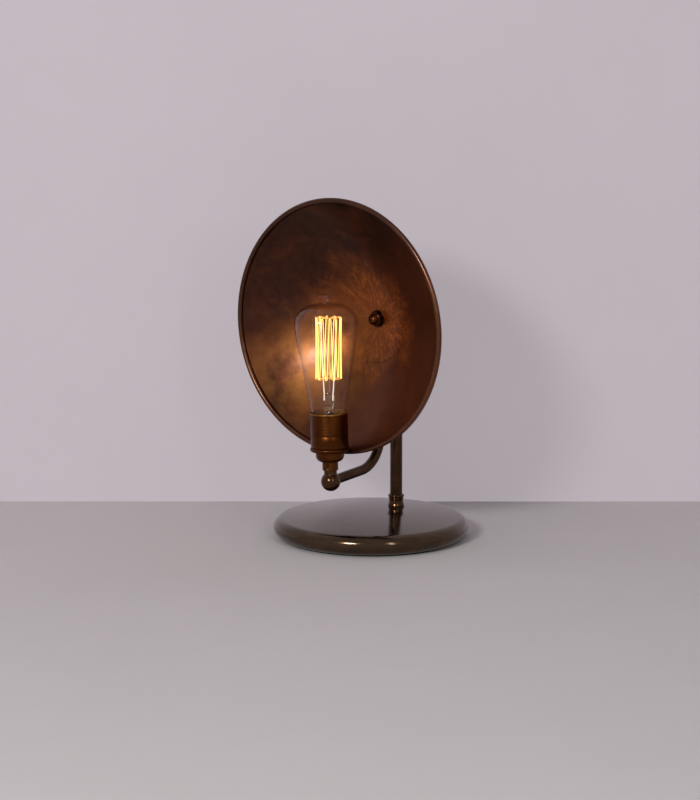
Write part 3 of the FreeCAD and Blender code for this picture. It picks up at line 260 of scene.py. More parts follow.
def sweep(name, line, radius, place, around=16):
    """A round bar along a line of points, with closed ends.

    Each ring stands square to the line. Its first direction is carried on from ring to ring
    by taking away the part that lies along the line, so that the bar doesn't twist.
    """
    line = np.asarray(line, float)
    along = np.gradient(line, axis=0)
    along /= np.linalg.norm(along, axis=1, keepdims=True)
    side = np.cross(along[0], (0.31, 0.95, 0.05))
    sides = []
    for direction in along:
        side = side - direction * (side @ direction)
        side = side / np.linalg.norm(side)
        sides.append(side)
    sides = np.array(sides)
    other = np.cross(along, sides)
    t = np.linspace(0, 2 * math.pi, around, endpoint=False)[None, :, None]
    thick = np.broadcast_to(np.asarray(radius, float), len(line))[:, None, None]
    grid = line[:, None] + thick * (np.cos(t) * sides[:, None] + np.sin(t) * other[:, None])
    first = np.repeat(line[:1, None], around, 1)
    last = np.repeat(line[-1:, None], around, 1)
    return surface(name, placed(np.concatenate([first, grid, last]), place))


PIECES = []


def fit(piece, body, slot, *nodes):
    """Rides a piece on its body, names its finish and the frame nodes it stands for."""
    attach(piece, body)
    if nodes:
        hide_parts(*nodes)
    PIECES.append((piece, slot))
    print("%-16s %6d faces, on %s" % (piece.name, len(piece.data.polygons), body))


# %% [markdown]
# ## Base
# The base is a very shallow dome that runs into a full round edge. It is spun from one sheet, and
# its lip turns in under the edge. The dome is part of a ball of 900 mm radius, and it meets the
# edge where one line passes through both centres, so there is no crease. Two holes are taken out:
# one for the stem's nipple and one for the bush in the back. They are cut once, so no live
# modifier is left on the piece.

# %% Base cover
COVER_SHEET = 1.2
LIP_INNER = 84.5
LIP_LOW = EDGE_HEIGHT - EDGE_RADIUS
LIP_HIGH = LIP_LOW + COVER_SHEET
INLET_BORE = 4.7
dome_to_edge = BASE_DOME - EDGE_RADIUS
base_centre = EDGE_HEIGHT - math.sqrt(dome_to_edge ** 2 - EDGE_ACROSS ** 2)


def base_height(across, depth=0.0):
    """Height of the dome, or of a surface at some depth under it: a circle's upper side."""
    return base_centre + np.sqrt((BASE_DOME - depth) ** 2 - across ** 2)


edge_start = math.degrees(math.asin(EDGE_ACROSS / dome_to_edge))
outer_edge = arc(EDGE_ACROSS, EDGE_HEIGHT, EDGE_RADIUS, -90, 90 - edge_start, 48)
inner_edge = arc(EDGE_ACROSS, EDGE_HEIGHT, EDGE_RADIUS - COVER_SHEET, 90 - edge_start, -90, 24)
dome_steps = np.linspace(EDGE_ACROSS + 0.2, 0, 40)
top_face = np.stack([dome_steps, base_height(dome_steps)], 1)
under_face = np.stack([dome_steps[::-1], base_height(dome_steps[::-1], COVER_SHEET)], 1)
lip = rounded([(EDGE_ACROSS - 1, LIP_HIGH, 0), (LIP_INNER, LIP_HIGH, 0.3),
               (LIP_INNER, LIP_LOW, 0.3), (EDGE_ACROSS - 1, LIP_LOW, 0)])
base_outline = joined(plain(under_face), plain(inner_edge), lip, plain(outer_edge),
                      plain(top_face))
base = lathe("base_cover", base_outline, np.eye(4), around=256)


def bore(piece, radius, low, high, place):
    """Takes a round hole out of a piece, once, with a cylinder that is then thrown away."""
    cutter = lathe("cutter", plain([(0, low), (radius, low), (radius, high), (0, high)]), place,
                   around=64)
    step = piece.modifiers.new("bore", "BOOLEAN")
    step.operation = "DIFFERENCE"
    step.object = cutter
    ready = piece.evaluated_get(bpy.context.evaluated_depsgraph_get())
    mesh = bpy.data.meshes.new_from_object(ready)
    piece.modifiers.clear()
    piece.data = mesh
    bpy.data.objects.remove(cutter)


# the cutters only have to reach through the sheet
bore(base, THREAD_BORE, 15, 30, STEM)
bore(base, INLET_BORE, -101.5, -80, move(z=EDGE_HEIGHT) @ FACING_FRONT)
fit(base, "base", "base_bronze", "base_shell")
STEM_SEAT = base_height(STEM_SETBACK)
print("dome", round(float(base_height(0)), 2), "mm high, at the stem", round(float(STEM_SEAT), 2))

# %% [markdown]
# ## Stem, collar and the two balls behind the dish
# The stem is drawn tube. A collar hides the joint with the base. It is turned from bar: a small
# plinth, a hollow bell, a thin ring and a round bead. The balls are turned too, then filed flat
# where the next piece seats. A filed flat is a clamp: no point may lie beyond the plane.

# %% Collar and stem
COLLAR_HEIGHT = 12.7
COLLAR_NECK = 7.1
PLINTH_RADIUS = 8.3
FOOT_ALLOWANCE = 0.6
STEM_WALL = 1.2


def filed_to_dome(piece):
    """Lifts the foot of a piece to the dome wherever it would lie below it."""
    for vertex in piece.data.vertices:
        x, y, z = vertex.co / MM
        vertex.co.z = max(z, float(base_height(math.hypot(x, y)))) * MM


collar_bore = STEM_RADIUS + 0.05
plinth = rounded([(collar_bore, -FOOT_ALLOWANCE, 0), (PLINTH_RADIUS, -FOOT_ALLOWANCE, 0),
                  (PLINTH_RADIUS, 0.5, 0), (PLINTH_RADIUS, 0.6, 0), (PLINTH_RADIUS, 1.5, 0.35),
                  (8.15, 1.9, 0)])
bell = plain([(7.85, 2.7), (7.6, 3.7), (7.4, 4.9), (7.2, 6.2)])
thin_ring = plain(arc(COLLAR_NECK, 8.1, 0.7, -90, 90, 10))
groove = plain([(7.05, 9.0), (7.05, 9.3)])
bead = plain(arc(COLLAR_NECK, 10.75, 1.3, -90, 90, 14))
collar_top = rounded([(COLLAR_NECK, 12.2, 0), (COLLAR_NECK, COLLAR_HEIGHT, 0.25),
                      (collar_bore, COLLAR_HEIGHT, 0)])
collar_profile = joined(plinth, bell, thin_ring, groove, bead, collar_top)
collar = lathe("collar_turned", collar_profile, STEM @ move(z=STEM_SEAT), closed=True)
filed_to_dome(collar)
fit(collar, "base", "aged_bronze", "stem_collar")

STEM_TOP = PIVOT_HEIGHT - STEM_FLAT
STEM_BORE = STEM_RADIUS - STEM_WALL
stem_foot = STEM_SEAT - FOOT_ALLOWANCE
# the row just above the foot keeps the long side's shading from bending with the filed foot
stem_outline = rounded([(STEM_BORE, stem_foot, 0), (STEM_RADIUS, stem_foot, 0),
                        (STEM_RADIUS, STEM_SEAT + 0.5, 0), (STEM_RADIUS, STEM_SEAT + 0.7, 0),
                        (STEM_RADIUS, STEM_TOP, 0.2), (STEM_BORE, STEM_TOP, 0)])
stem = lathe("stem_drawn", stem_outline, STEM, closed=True)
filed_to_dome(stem)
fit(stem, "base", "aged_bronze", "stem_tube")

# %% [markdown]
# ## The swivel behind the dish
# Two drilled balls are clamped together, with a short collar and a friction washer between them.
# The rear ball ends the stem. The front one carries the arm, and the dish's backing disc sits on
# its front flat. A nipple runs through both, so the flex can pass while the arm turns.

# %% Balls behind the dish
EDGE_EASE = 0.25
SWIVEL_FRONT = 30.25
SEAT_RADIUS = 11.0


def filed_ball(name, radius, flat_low, flat_high, place, clamp=None):
    """A ball cut flat at two heights on its own axis: r = sqrt(radius^2 - h^2) between them.

    The flats stay closed. A clamp (column, limit) files a third flat across the axis.
    """
    low = math.degrees(math.asin(-flat_low / radius))
    high = math.degrees(math.asin(flat_high / radius))
    side = arc(0, 0, radius, low, high, 64)
    points = np.concatenate([[(0, -flat_low), (side[0, 0] - EDGE_EASE, -flat_low)], side,
                             [(side[-1, 0] - EDGE_EASE, flat_high), (0, flat_high)]])
    t = np.linspace(0, 2 * math.pi, 160, endpoint=False)
    grid = round_grid(points[:, :1], points[:, 1:], t)
    if clamp:
        column, limit = clamp
        grid[:, :, column] = np.maximum(grid[:, :, column], limit)
    return surface(name, placed(grid, place))


# the rear ball has no flat at the back: its cut lies a thousandth short of the pole
upper_ball = filed_ball("stem_ball_turned", STEM_BALL, STEM_BALL - 0.001, STEM_FLAT,
                        BOLT @ STEM @ FACING_FRONT, clamp=(1, -STEM_FLAT))
fit(upper_ball, "base", "aged_bronze", "stem_ball")
carrier_ball = filed_ball("arm_ball_turned", ARM_BALL, ARM_FLAT, ARM_FLAT,
                          ARM @ move(y=ARM_BALL_Y) @ FACING_FRONT)
fit(carrier_ball, "arm", "aged_bronze", "arm_ball")
swivel = ring("swivel_collar_turned", THREAD_BORE, 6.2, low=STEM_FLAT - STEM_SETBACK,
              high=-SWIVEL_FRONT, edge=0.3, place=BOLT @ FACING_FRONT)
fit(swivel, "base", "aged_bronze", "swivel_collar")
seat = ring("seat_turned", STUD_HOLE, SEAT_RADIUS, low=ARM_FLAT - ARM_BALL_Y,
            high=-(DISH_FRONT + DISH_SHEET), edge=0.4, place=ARM @ FACING_FRONT)
fit(seat, "arm", "aged_bronze", "dish_seat")

# %% [markdown]
# ## Dish
# The dish is spun from a flat copper disc over a wooden former. Two arcs give its section: a tight
# crown round the centre and a flatter flank out to the rim. The rim is rolled back over itself
# into a bead, which leaves a fine groove where the roll meets the sheet. The spinner's tool also
# leaves faint rings, so the sheet is never quite even.

# %% Dish
CROWN_RADIUS = 110.0
CROWN_ANGLE = 25.0
FLANK_RADIUS = 264.0
BEAD_RADIUS = 2.6
crown_centre = DISH_FRONT - CROWN_RADIUS
flank_across = (CROWN_RADIUS - FLANK_RADIUS) * math.sin(math.radians(CROWN_ANGLE))
flank_along = crown_centre + (CROWN_RADIUS - FLANK_RADIUS) * math.cos(math.radians(CROWN_ANGLE))


def dish_section(across, offset):
    """Height of the dish above the bolt's frame, facing front, at a distance from its axis.

    Inside the crown it is the crown's circle, and outside it the flank's. The offset moves
    the surface back from the front face, square to it.
    """
    crown = CROWN_RADIUS + offset
    flank = FLANK_RADIUS + offset
    meeting = crown * math.sin(math.radians(CROWN_ANGLE))
    near = crown_centre + np.sqrt(crown ** 2 - np.minimum(across, meeting) ** 2)
    far = flank_along + np.sqrt(flank ** 2 - (across - flank_across) ** 2)
    return -np.where(across < meeting, near, far)


bead_across = DISH_RADIUS - BEAD_RADIUS
bead_height = -RIM_Y
radii = np.linspace(STUD_HOLE, bead_across - 2.0, 150)
# the tool's faint rings, a few hundredths of a millimetre deep
ripple = 0.006 * np.sin(radii * 0.55) + 0.003 * np.sin(radii * 1.3 + 1)
front = np.stack([radii, dish_section(radii, 0.0) + ripple], 1)
back = np.stack([radii, dish_section(radii, DISH_SHEET)], 1)[::-1]
roll = arc(bead_across, bead_height, BEAD_RADIUS, 190, -118, 40)
seam = np.array([(bead_across - 1.6, bead_height - 1.75)])
dish_profile = plain(np.concatenate([front, roll, seam, back]))
dish = lathe("dish_spun", dish_profile, ARM @ FACING_FRONT, around=320, closed=True)
fit(dish, "arm", "dish_copper", "dish")

# %% [markdown]
# ## Dome nut and washer
# An acorn nut clamps the dish. Its foot is a hexagon whose corners a cone has cut back, and its
# head is part of a ball. The hexagon's radius is half its width over the cosine of the angle from
# the nearest flat, so one formula draws the whole nut.

# %% Dome nut
NUT_ACROSS = 12.6
NUT_HEX = 5.5
NUT_HEIGHT = 11.0
DOME_RADIUS = 6.05
NUT_SEAT = -10.0
NUT_COLUMNS = 180
angles = np.linspace(0, 2 * math.pi, NUT_COLUMNS, endpoint=False)
from_flat = (angles + math.pi / 6) % (math.pi / 3) - math.pi / 6
hexagon = NUT_ACROSS / 2 / np.cos(from_flat)
dome_centre = NUT_HEIGHT - DOME_RADIUS
dome_start = math.degrees(math.asin((NUT_HEX - dome_centre) / DOME_RADIUS))
dome = arc(0, dome_centre, DOME_RADIUS, dome_start, 90, 24)
bore_rows = [(0, NUT_HEX + 0.8), (STUD_HOLE, NUT_HEX + 0.8), (STUD_HOLE, 0)]
foot_heights = [0.0, 0.15, 0.6, 4.2, 4.6, 4.9, 5.2, 5.35, 5.45, NUT_HEX]
round_rows = np.ones(NUT_COLUMNS)
nut_radii = [radius * round_rows for radius, height in bore_rows]
for height in foot_heights:
    cone = NUT_ACROSS / 2 + (NUT_HEX - height) * 1.2 - (0.12 if height == NUT_HEX else 0)
    nut_radii.append(np.minimum(hexagon, cone) - (0.15 if height == 0.0 else 0))
nut_radii += [max(radius, 0.0) * round_rows for radius, height in dome]
nut_heights = np.array([row[1] for row in bore_rows] + foot_heights + list(dome[:, 1]))
nut_grid = round_grid(np.array(nut_radii), nut_heights[:, None], angles)
# only the hexagon's upper corners and the foot of the dome are rubbed
nut_wear = np.zeros(len(nut_heights))
nut_wear[6:12] = (0.1, 0.5, 0.9, 0.9, 0.6, 0.3)
nut = surface("dome_nut_turned", placed(nut_grid, ARM @ FACING_FRONT @ move(z=NUT_SEAT)), nut_wear)
fit(nut, "arm", "aged_bronze", "dome_nut")

WASHER_RADIUS = 9.0
washer_across = np.linspace(STUD_HOLE, WASHER_RADIUS, 14)
washer_back = np.stack([washer_across, dish_section(washer_across, 0.0) + 0.03], 1)
washer_front = rounded([(WASHER_RADIUS, NUT_SEAT - 0.7, 0), (WASHER_RADIUS, NUT_SEAT, 0.3),
                        (STUD_HOLE, NUT_SEAT, 0)])
washer = lathe("dish_washer_turned", joined(plain(washer_back), washer_front),
               ARM @ FACING_FRONT, closed=True)
fit(washer, "arm", "aged_bronze", "dish_washer")

# %% [markdown]
# ## Arm
# The arm is one length of tube, bent once. Its path is two straight legs with an arc between them.
# The arc starts where it touches the lower leg, at radius times the tangent of half the bend.

# %% Arm tube
ARM_RADIUS = 5.0
ARM_INSET = 5.4
BEND_RADIUS = 34.4
ARM_RISE = 3.7
ARM_LEAN = 5.9
rise = math.radians(ARM_RISE)
lean = math.radians(ARM_LEAN)
width = ARM_BALL_Y - ELBOW_Y
run = (width * math.cos(lean) - ARM_DROP * math.sin(lean)) / math.cos(rise + lean)
lower = np.array([0, math.cos(rise), math.sin(rise)])
upper = np.array([0, math.sin(lean), math.cos(lean)])
elbow_point = np.array([0, ELBOW_Y, -ARM_DROP])
ball_point = np.array([0, ARM_BALL_Y, 0])
corner = elbow_point + lower * run
bend_turn = math.acos(lower @ upper)
reach = BEND_RADIUS * math.tan(bend_turn / 2)
bend_start = corner - lower * reach
inward = np.cross(np.array([1, 0, 0]), lower)
t = np.linspace(0, bend_turn, 40)[:, None]
bend = bend_start + BEND_RADIUS * (np.sin(t) * lower + (1 - np.cos(t)) * inward)
steps = np.linspace(0, 1, 12)[:, None]
first_leg = elbow_point + lower * (ARM_INSET + (run - reach - ARM_INSET) * steps[:-1])
leg_end = ball_point - upper * ARM_INSET
last_leg = bend[-1] + (leg_end - bend[-1]) * steps[1:]
arm = sweep("arm_bent", np.concatenate([first_leg, bend, last_leg]), ARM_RADIUS, ARM, around=64)
fit(arm, "arm", "aged_bronze", "arm_tube")

# %% [markdown]
# ## Elbow ball and neck
# Under the holder the arm ends in a turned ball with a short boss. The neck above it is a plain
# sleeve, held by a grub screw whose hole shows at the front.

# %% Elbow ball, neck and grub screw
ELBOW_BALL = 9.8
BOSS_RADIUS = 6.4
BOSS_TOP = 11.7
boss_angle = math.degrees(math.acos(BOSS_RADIUS / ELBOW_BALL))
ball_side = arc(0, 0, ELBOW_BALL, -90, boss_angle - 2.5, 64)
boss = rounded([(BOSS_RADIUS + 0.05, 7.9, 0), (BOSS_RADIUS, BOSS_TOP, 0.3), (0, BOSS_TOP, 0)])
elbow = lathe("elbow_turned", joined(plain(ball_side), boss), HOLDER)
fit(elbow, "arm", "aged_bronze", "elbow_ball")

NECK_RADIUS = 7.95
NECK_TOP = 20.35
GRUB_HEIGHT = 15.2
GRUB_BORE = 1.55
GRUB_TURN = 21
neck_outline = rounded([(THREAD_BORE, BOSS_TOP, 0.1), (NECK_RADIUS, BOSS_TOP, 0.5),
                        (NECK_RADIUS, NECK_TOP, 0.1), (THREAD_BORE, NECK_TOP, 0.1)], closed=True)
NECK = HOLDER @ turn((0, 0, 1), GRUB_TURN)
neck = lathe("neck_turned", neck_outline, NECK, closed=True)
bore(neck, GRUB_BORE, 4, 9, NECK @ move(z=GRUB_HEIGHT) @ FACING_FRONT)
fit(neck, "arm", "holder_brass", "holder_neck")

# %% [markdown]
# ## Lampholder
# The holder has a pressed cup below and a straight sleeve above, with a rolled ring between them.
# The upper part of the sleeve carries a fine outer thread, made for a shade ring. On a real thread
# the groove climbs as it goes round: the radius is a triangle wave of height over pitch less the
# turns round the axis. The thread fades in and out at its ends, as a cut thread does.

# %% Cup with its rolled ring
CUP_RADIUS = 14.3
CUP_ROUND = 6.3
CUP_TOP = 30.85
RING_RADIUS = 19.8
RING_TOP = 35.2
HOLDER_SHEET = 1.0
ring_half = (RING_TOP - CUP_TOP) / 2
round_centre = (CUP_RADIUS - CUP_ROUND, NECK_TOP + CUP_ROUND)
cup_round = arc(*round_centre, CUP_ROUND, -90, 0, 20)
ring_roll = arc(RING_RADIUS - ring_half, CUP_TOP + ring_half, ring_half, -90, 90, 20)
cup_inner = arc(*round_centre, CUP_ROUND - HOLDER_SHEET, 0, -90, 12)
ring_bore = RING_RADIUS - ring_half - 0.4
cup_bore = CUP_RADIUS - HOLDER_SHEET
step_top = CUP_TOP + HOLDER_SHEET
cup_outline = joined(
    plain([(THREAD_BORE, NECK_TOP)]), plain(cup_round),
    rounded([(CUP_RADIUS, CUP_TOP - 3, 0), (CUP_RADIUS, CUP_TOP, 0.35), (16.5, CUP_TOP, 0)]),
    plain(ring_roll),
    rounded([(ring_bore + 0.2, RING_TOP, 0), (ring_bore, RING_TOP, 0.1),
             (ring_bore, step_top, 0.1), (cup_bore, step_top, 0.2), (cup_bore, 27.5, 0)]),
    plain(cup_inner), plain([(THREAD_BORE, NECK_TOP + HOLDER_SHEET)]))
cup = lathe("holder_cup", cup_outline, HOLDER, closed=True, around=160)
fit(cup, "arm", "holder_brass", "holder_cap")

# %% [markdown]
# ## Sleeve
# The sleeve is one tube. A groove parts its smooth lower band from the thread, and its mouth is
# rolled into a slightly wider lip, which hands and bulbs have rubbed to a golden edge. The inner
# wall carries painted light: it is marked by a wear of 2, and the finish paints plain brass there,
# as the filament's glow lights it.

# %% Sleeve with its fine thread
SLEEVE_RADIUS = 18.8
SLEEVE_BORE = 17.8
SMOOTH_TOP = 48.4
SLEEVE_TOP = 70.2
PITCH = 1.5
DEPTH = 0.12
CREST = 0.1
GLOW_PAINTED_INSIDE = 2.0


def fine_thread(height, turns):
    """Radius of the sleeve: a triangle wave that climbs one pitch for each turn."""
    phase = (height - SMOOTH_TOP) / PITCH - turns
    wave = np.abs((phase % 1) * 2 - 1)
    fade_in = np.clip((height - SMOOTH_TOP) / PITCH, 0, 1)
    fade_out = np.clip((SLEEVE_TOP - 1.6 - height) / PITCH, 0, 1)
    cut = DEPTH * wave * fade_in * fade_out
    return SLEEVE_RADIUS + CREST * fade_in - cut


around = 192
turns = np.arange(around) / around
thread_heights = np.linspace(SMOOTH_TOP, SLEEVE_TOP - 1.4, 170)
# plain rows are (height, radius, wear)
foot_rows = [(35.2, SLEEVE_RADIUS - 0.2, 0), (35.4, SLEEVE_RADIUS, 0), (36.1, SLEEVE_RADIUS, 0),
             (42.0, SLEEVE_RADIUS, 0), (47.6, SLEEVE_RADIUS, 0), (47.75, SLEEVE_RADIUS - 0.1, 0.3),
             (47.8, SLEEVE_RADIUS - 0.35, 0), (48.2, SLEEVE_RADIUS - 0.35, 0)]
lip_rows = [(68.9, 18.85, 0.3), (69.1, 18.97, 0.7), (69.4, 19.0, 1), (69.8, 18.98, 1),
            (70.05, 18.88, 1), (70.2, 18.6, 1), (70.2, 18.1, 1), (70.1, 17.9, 1)]
# the inner wall is marked for painted light from the filament
inside_rows = [(height, SLEEVE_BORE, GLOW_PAINTED_INSIDE) for height in (69.9, 69.4, 60.0, 50.0, 35.4)]
thread_rows = [(height, fine_thread(height, turns), 0) for height in thread_heights]
sleeve_rows = foot_rows + thread_rows + lip_rows + inside_rows
sleeve_heights = np.array([height for height, radius, rub in sleeve_rows])
sleeve_radii = np.array([radius + 0 * turns for height, radius, rub in sleeve_rows])
sleeve_wear = np.array([float(rub) for height, radius, rub in sleeve_rows])
sleeve_grid = round_grid(sleeve_radii, sleeve_heights[:, None], turns * 2 * math.pi)
sleeve = surface("holder_sleeve", placed(sleeve_grid, HOLDER), sleeve_wear, closed=True)
fit(sleeve, "arm", "holder_brass", "holder_skirt")

# %% [markdown]
# ## The lamp thread
# The bulb's cap and the shell in the holder share one rolled thread, a soft wave rather than a
# sharp V. The radius is a cosine of height over pitch less the turns, so cap and shell match at
# every height as the bulb screws out.

# %% Bulb cap and screw shell
LAMP_PITCH = 3.629


def rolled(name, mean, swing, sheet, low, high, phase, place):
    """A thin rolled sheet: radius = mean + swing * cos(2 pi (h / pitch - turns + phase))."""
    columns = 160
    part_turns = np.arange(columns) / columns
    climb = np.linspace(low, high, 120)[:, None]
    fade = np.clip(np.minimum(climb - low, high - climb) / 1.5, 0, 1)
    wave = swing * fade * np.cos(2 * math.pi * (climb / LAMP_PITCH - part_turns + phase))
    outer = mean + wave
    radii = np.concatenate([outer, outer[::-1] - sheet])
    heights = np.concatenate([climb, climb[::-1]])
    grid = round_grid(radii, heights, part_turns * 2 * math.pi)
    return surface(name, placed(grid, place), closed=True)


CAP_PHASE = 0.25
cap = rolled("bulb_cap_rolled", mean=12.7, swing=0.4, sheet=0.35, low=5.8, high=25.5,
             phase=CAP_PHASE, place=BULB)
fit(cap, "bulb", "bulb_metal", "bulb_cap")
# the shell's bore follows the cap's crests with the same phase, measured from the same seat
shell_phase = CAP_PHASE - BULB_SEAT / LAMP_PITCH
shell = rolled("shell_rolled", mean=14.05, swing=0.3, sheet=0.3, low=37.0, high=58.0,
               phase=shell_phase, place=HOLDER)
fit(shell, "arm", "plain_brass", "thread_shell")

# %% [markdown]
# ## Bulb glass
# The envelope is blown: a long cone that swells to the belly, a round shoulder, and on top the
# small tip where the exhaust tube was melted off. The wall is thin, so the inside follows the
# outside at 0.8 mm. The tip is solid glass with a waist under it.

# %% Glass envelope
GLASS_WALL = 0.8
BELLY = 120.1
BELLY_RADIUS = 32.0
SHOULDER = 19.5
CONE_TOP = 103.6
RIM_RADIUS = 17.4
RIM_HEIGHT = 31.2
NECK_GLASS = 11.75
TIP_TOP = 150.4


def smooth_through(knots, count):
    """A curve through points: each stretch is a cubic whose slope at a point is that of the
    line between its neighbours."""
    knots = np.asarray(knots, float)
    slopes = np.gradient(knots, axis=0)
    out = []
    for start, end, from_slope, to_slope in zip(knots, knots[1:], slopes, slopes[1:]):
        s = np.linspace(0, 1, count, endpoint=False)[:, None]
        out.append((2 * s ** 3 - 3 * s ** 2 + 1) * start + (s ** 3 - 2 * s ** 2 + s) * from_slope
                   + (-2 * s ** 3 + 3 * s ** 2) * end + (s ** 3 - s ** 2) * to_slope)
    return np.concatenate(out + [knots[-1:]])


def envelope(inset):
    """Outline of the blown glass up to the shoulder's top, set in from its outside."""
    lean = (BELLY_RADIUS - RIM_RADIUS) / (CONE_TOP - RIM_HEIGHT)
    cone_top = BELLY_RADIUS - (BELLY - CONE_TOP) * lean / 2 - inset
    climb = BELLY - CONE_TOP
    swell = BELLY_RADIUS - inset - cone_top
    flank = (climb ** 2 + swell ** 2) / (2 * swell)
    flank_angle = math.degrees(math.asin(climb / flank))
    neck = np.array([(NECK_GLASS - inset, 23.9), (NECK_GLASS - inset, 25.9)])
    ease = smooth_through([(NECK_GLASS - inset, 26.1), (16.0 - inset, 28.6),
                           (RIM_RADIUS - inset, RIM_HEIGHT)], 8)[1:-1]
    cone_heights = np.linspace(RIM_HEIGHT, CONE_TOP, 30)[:-1]
    cone_radii = np.interp(cone_heights, [RIM_HEIGHT, CONE_TOP], [RIM_RADIUS - inset, cone_top])
    belly = arc(BELLY_RADIUS - inset - flank, BELLY, flank, -flank_angle, 0, 16)
    shoulder = arc(BELLY_RADIUS - SHOULDER, BELLY, SHOULDER - inset, 0, 90, 32)[1:]
    return np.concatenate([neck, ease, np.stack([cone_radii, cone_heights], 1), belly, shoulder])


tip_outside = smooth_through([(12.5, 139.6), (8.6, 140.35), (5.9, 141.7), (5.6, 143.2),
                              (6.9, 145.2), (7.3, 146.6), (6.6, 148.7), (4.2, 149.9),
                              (0, TIP_TOP)], 6)[1:]
crown_inside = smooth_through([(11.7, 138.8), (8.0, 139.4), (4.0, 139.9), (0, 140.0)], 6)[1:]
# the envelope's outline runs up the outside, over the tip, and back down the inside
glass_outside = np.concatenate([envelope(0.0), tip_outside])
glass_inside = np.concatenate([envelope(GLASS_WALL), crown_inside])
glass_outline = plain(np.concatenate([glass_outside, glass_inside[::-1]]))
glass = lathe("bulb_envelope", glass_outline, BULB, around=160, closed=True)
fit(glass, "bulb", "bulb_glass", "bulb_glass")

# %% [markdown]
# ## The glass mount and its wires
# Inside the neck a glass flare rises and is pinched flat while soft, which seals the two lead-in
# wires. A glass rod stands on the pinch. Wire hooks are stuck into its two beads like the ribs of
# an umbrella and carry the filament.

# %% Mount, hooks and lead-in wires
CAGE_RADIUS = 12.8
CAGE_BOTTOM = 65.0
CAGE_TOP = 126.3
HOOKS = 10
FLARE_FOOT = 25.0
PRESS_TURN = 18
# the mount sits turned in the glass and a little off upright, as the strands in the photo show
MOUNT_TURN = 9.5
MOUNT_LEAN = -1.5
MOUNT_SHIFT = 0.4
MOUNT_PIVOT = 45.0
# it leans about the line of sight, which lies this far round from the lamp's front
SIGHT_TURN = math.radians(38)
lean_axis = (math.sin(SIGHT_TURN), -math.cos(SIGHT_TURN), 0)
CAGE = (BULB @ move(x=MOUNT_SHIFT, z=MOUNT_PIVOT) @ turn(lean_axis, MOUNT_LEAN)
        @ move(z=-MOUNT_PIVOT) @ turn((0, 0, 1), MOUNT_TURN))
# half widths across and through the pinch: flare, press, rod with its two beads
mount_knots = [25, 27, 32, 38, 44, 49, 50.5, 63, 64.2, 65.4, 67, 121, 123, 125.2, 126.3]
knots_across = [9.0, 6.5, 3.6, 5.2, 6.0, 5.2, 1.4, 1.3, 1.5, 1.5, 1.3, 1.3, 1.4, 1.4, 0.0]
knots_through = [9.0, 6.5, 3.2, 2.2, 2.0, 2.0, 1.4, 1.3, 1.5, 1.5, 1.3, 1.3, 1.4, 1.4, 0.0]
mount_z = FLARE_FOOT + np.linspace(0, 1, 90) * (CAGE_TOP - FLARE_FOOT)
across = np.interp(mount_z, mount_knots, knots_across)[:, None]
through = np.interp(mount_z, mount_knots, knots_through)[:, None]
angles = np.linspace(0, 2 * math.pi, 48, endpoint=False)
mount_grid = np.stack([across * np.cos(angles), through * np.sin(angles),
                       mount_z[:, None] + 0 * angles], 2)
foot_row = round_grid(np.zeros((1, 1)), np.full((1, 1), FLARE_FOOT), angles)
mount = surface("mount_pressed", placed(np.concatenate([foot_row, mount_grid]),
                                        CAGE @ turn((0, 0, 1), PRESS_TURN)))
fit(mount, "bulb", "mount_glass", "bulb_mount")


def cage_point(step, height, radius):
    """A point of the cage, at an angle counted in hook spacings."""
    angle = 2 * math.pi * step / HOOKS
    return np.array([radius * math.cos(angle), radius * math.sin(angle), height])


def joined_pieces(name, pieces):
    """One piece from several meshes that share a node."""
    bpy.ops.object.select_all(action="DESELECT")
    for piece in pieces:
        piece.select_set(True)
    bpy.context.view_layer.objects.active = pieces[0]
    bpy.ops.object.join()
    pieces[0].name = name
    return pieces[0]


HOOK_WIRE = 0.25
LEAD_WIRE = 0.6
hooks = []
for hook in range(HOOKS):
    for height, step, lift in ((CAGE_BOTTOM, hook, -1), (CAGE_TOP, hook + 0.5, 1)):
        line = smooth_through([cage_point(step, height - 0.84 * lift, 1.3),
                               cage_point(step, height - 0.2 * lift, 6.0),
                               cage_point(step, height + 0.3 * lift, 11.0),
                               cage_point(step, height - 0.1 * lift, CAGE_RADIUS - 0.9)], 5)
        hooks.append(sweep("hook", line, HOOK_WIRE, CAGE, around=6))
hooks = joined_pieces("hooks_bent", hooks)
fit(hooks, "bulb", "bulb_wire", "cage_hooks")

leads = []
for step in (0.5, HOOKS / 2 + 0.5):
    line = smooth_through([cage_point(step, 43.0, 4.2), cage_point(step, 50.5, 4.4),
                           cage_point(step, 58.0, 5.0), cage_point(step, 119.8, 8.0)], 12)
    leads.append(sweep("lead", line, LEAD_WIRE, CAGE, around=12))
leads = joined_pieces("leads_bent", leads)
fit(leads, "bulb", "bulb_wire", "lead_in_wires")

# %% [markdown]
# ## Filament
# One long wire zigzags between the lower and the upper hooks and so makes a cage. At each hook it
# turns in a small hairpin. Between the hooks a hot wire sags a little, so each strand bows inward
# by a fraction of a millimetre, as a sine of the way along it.

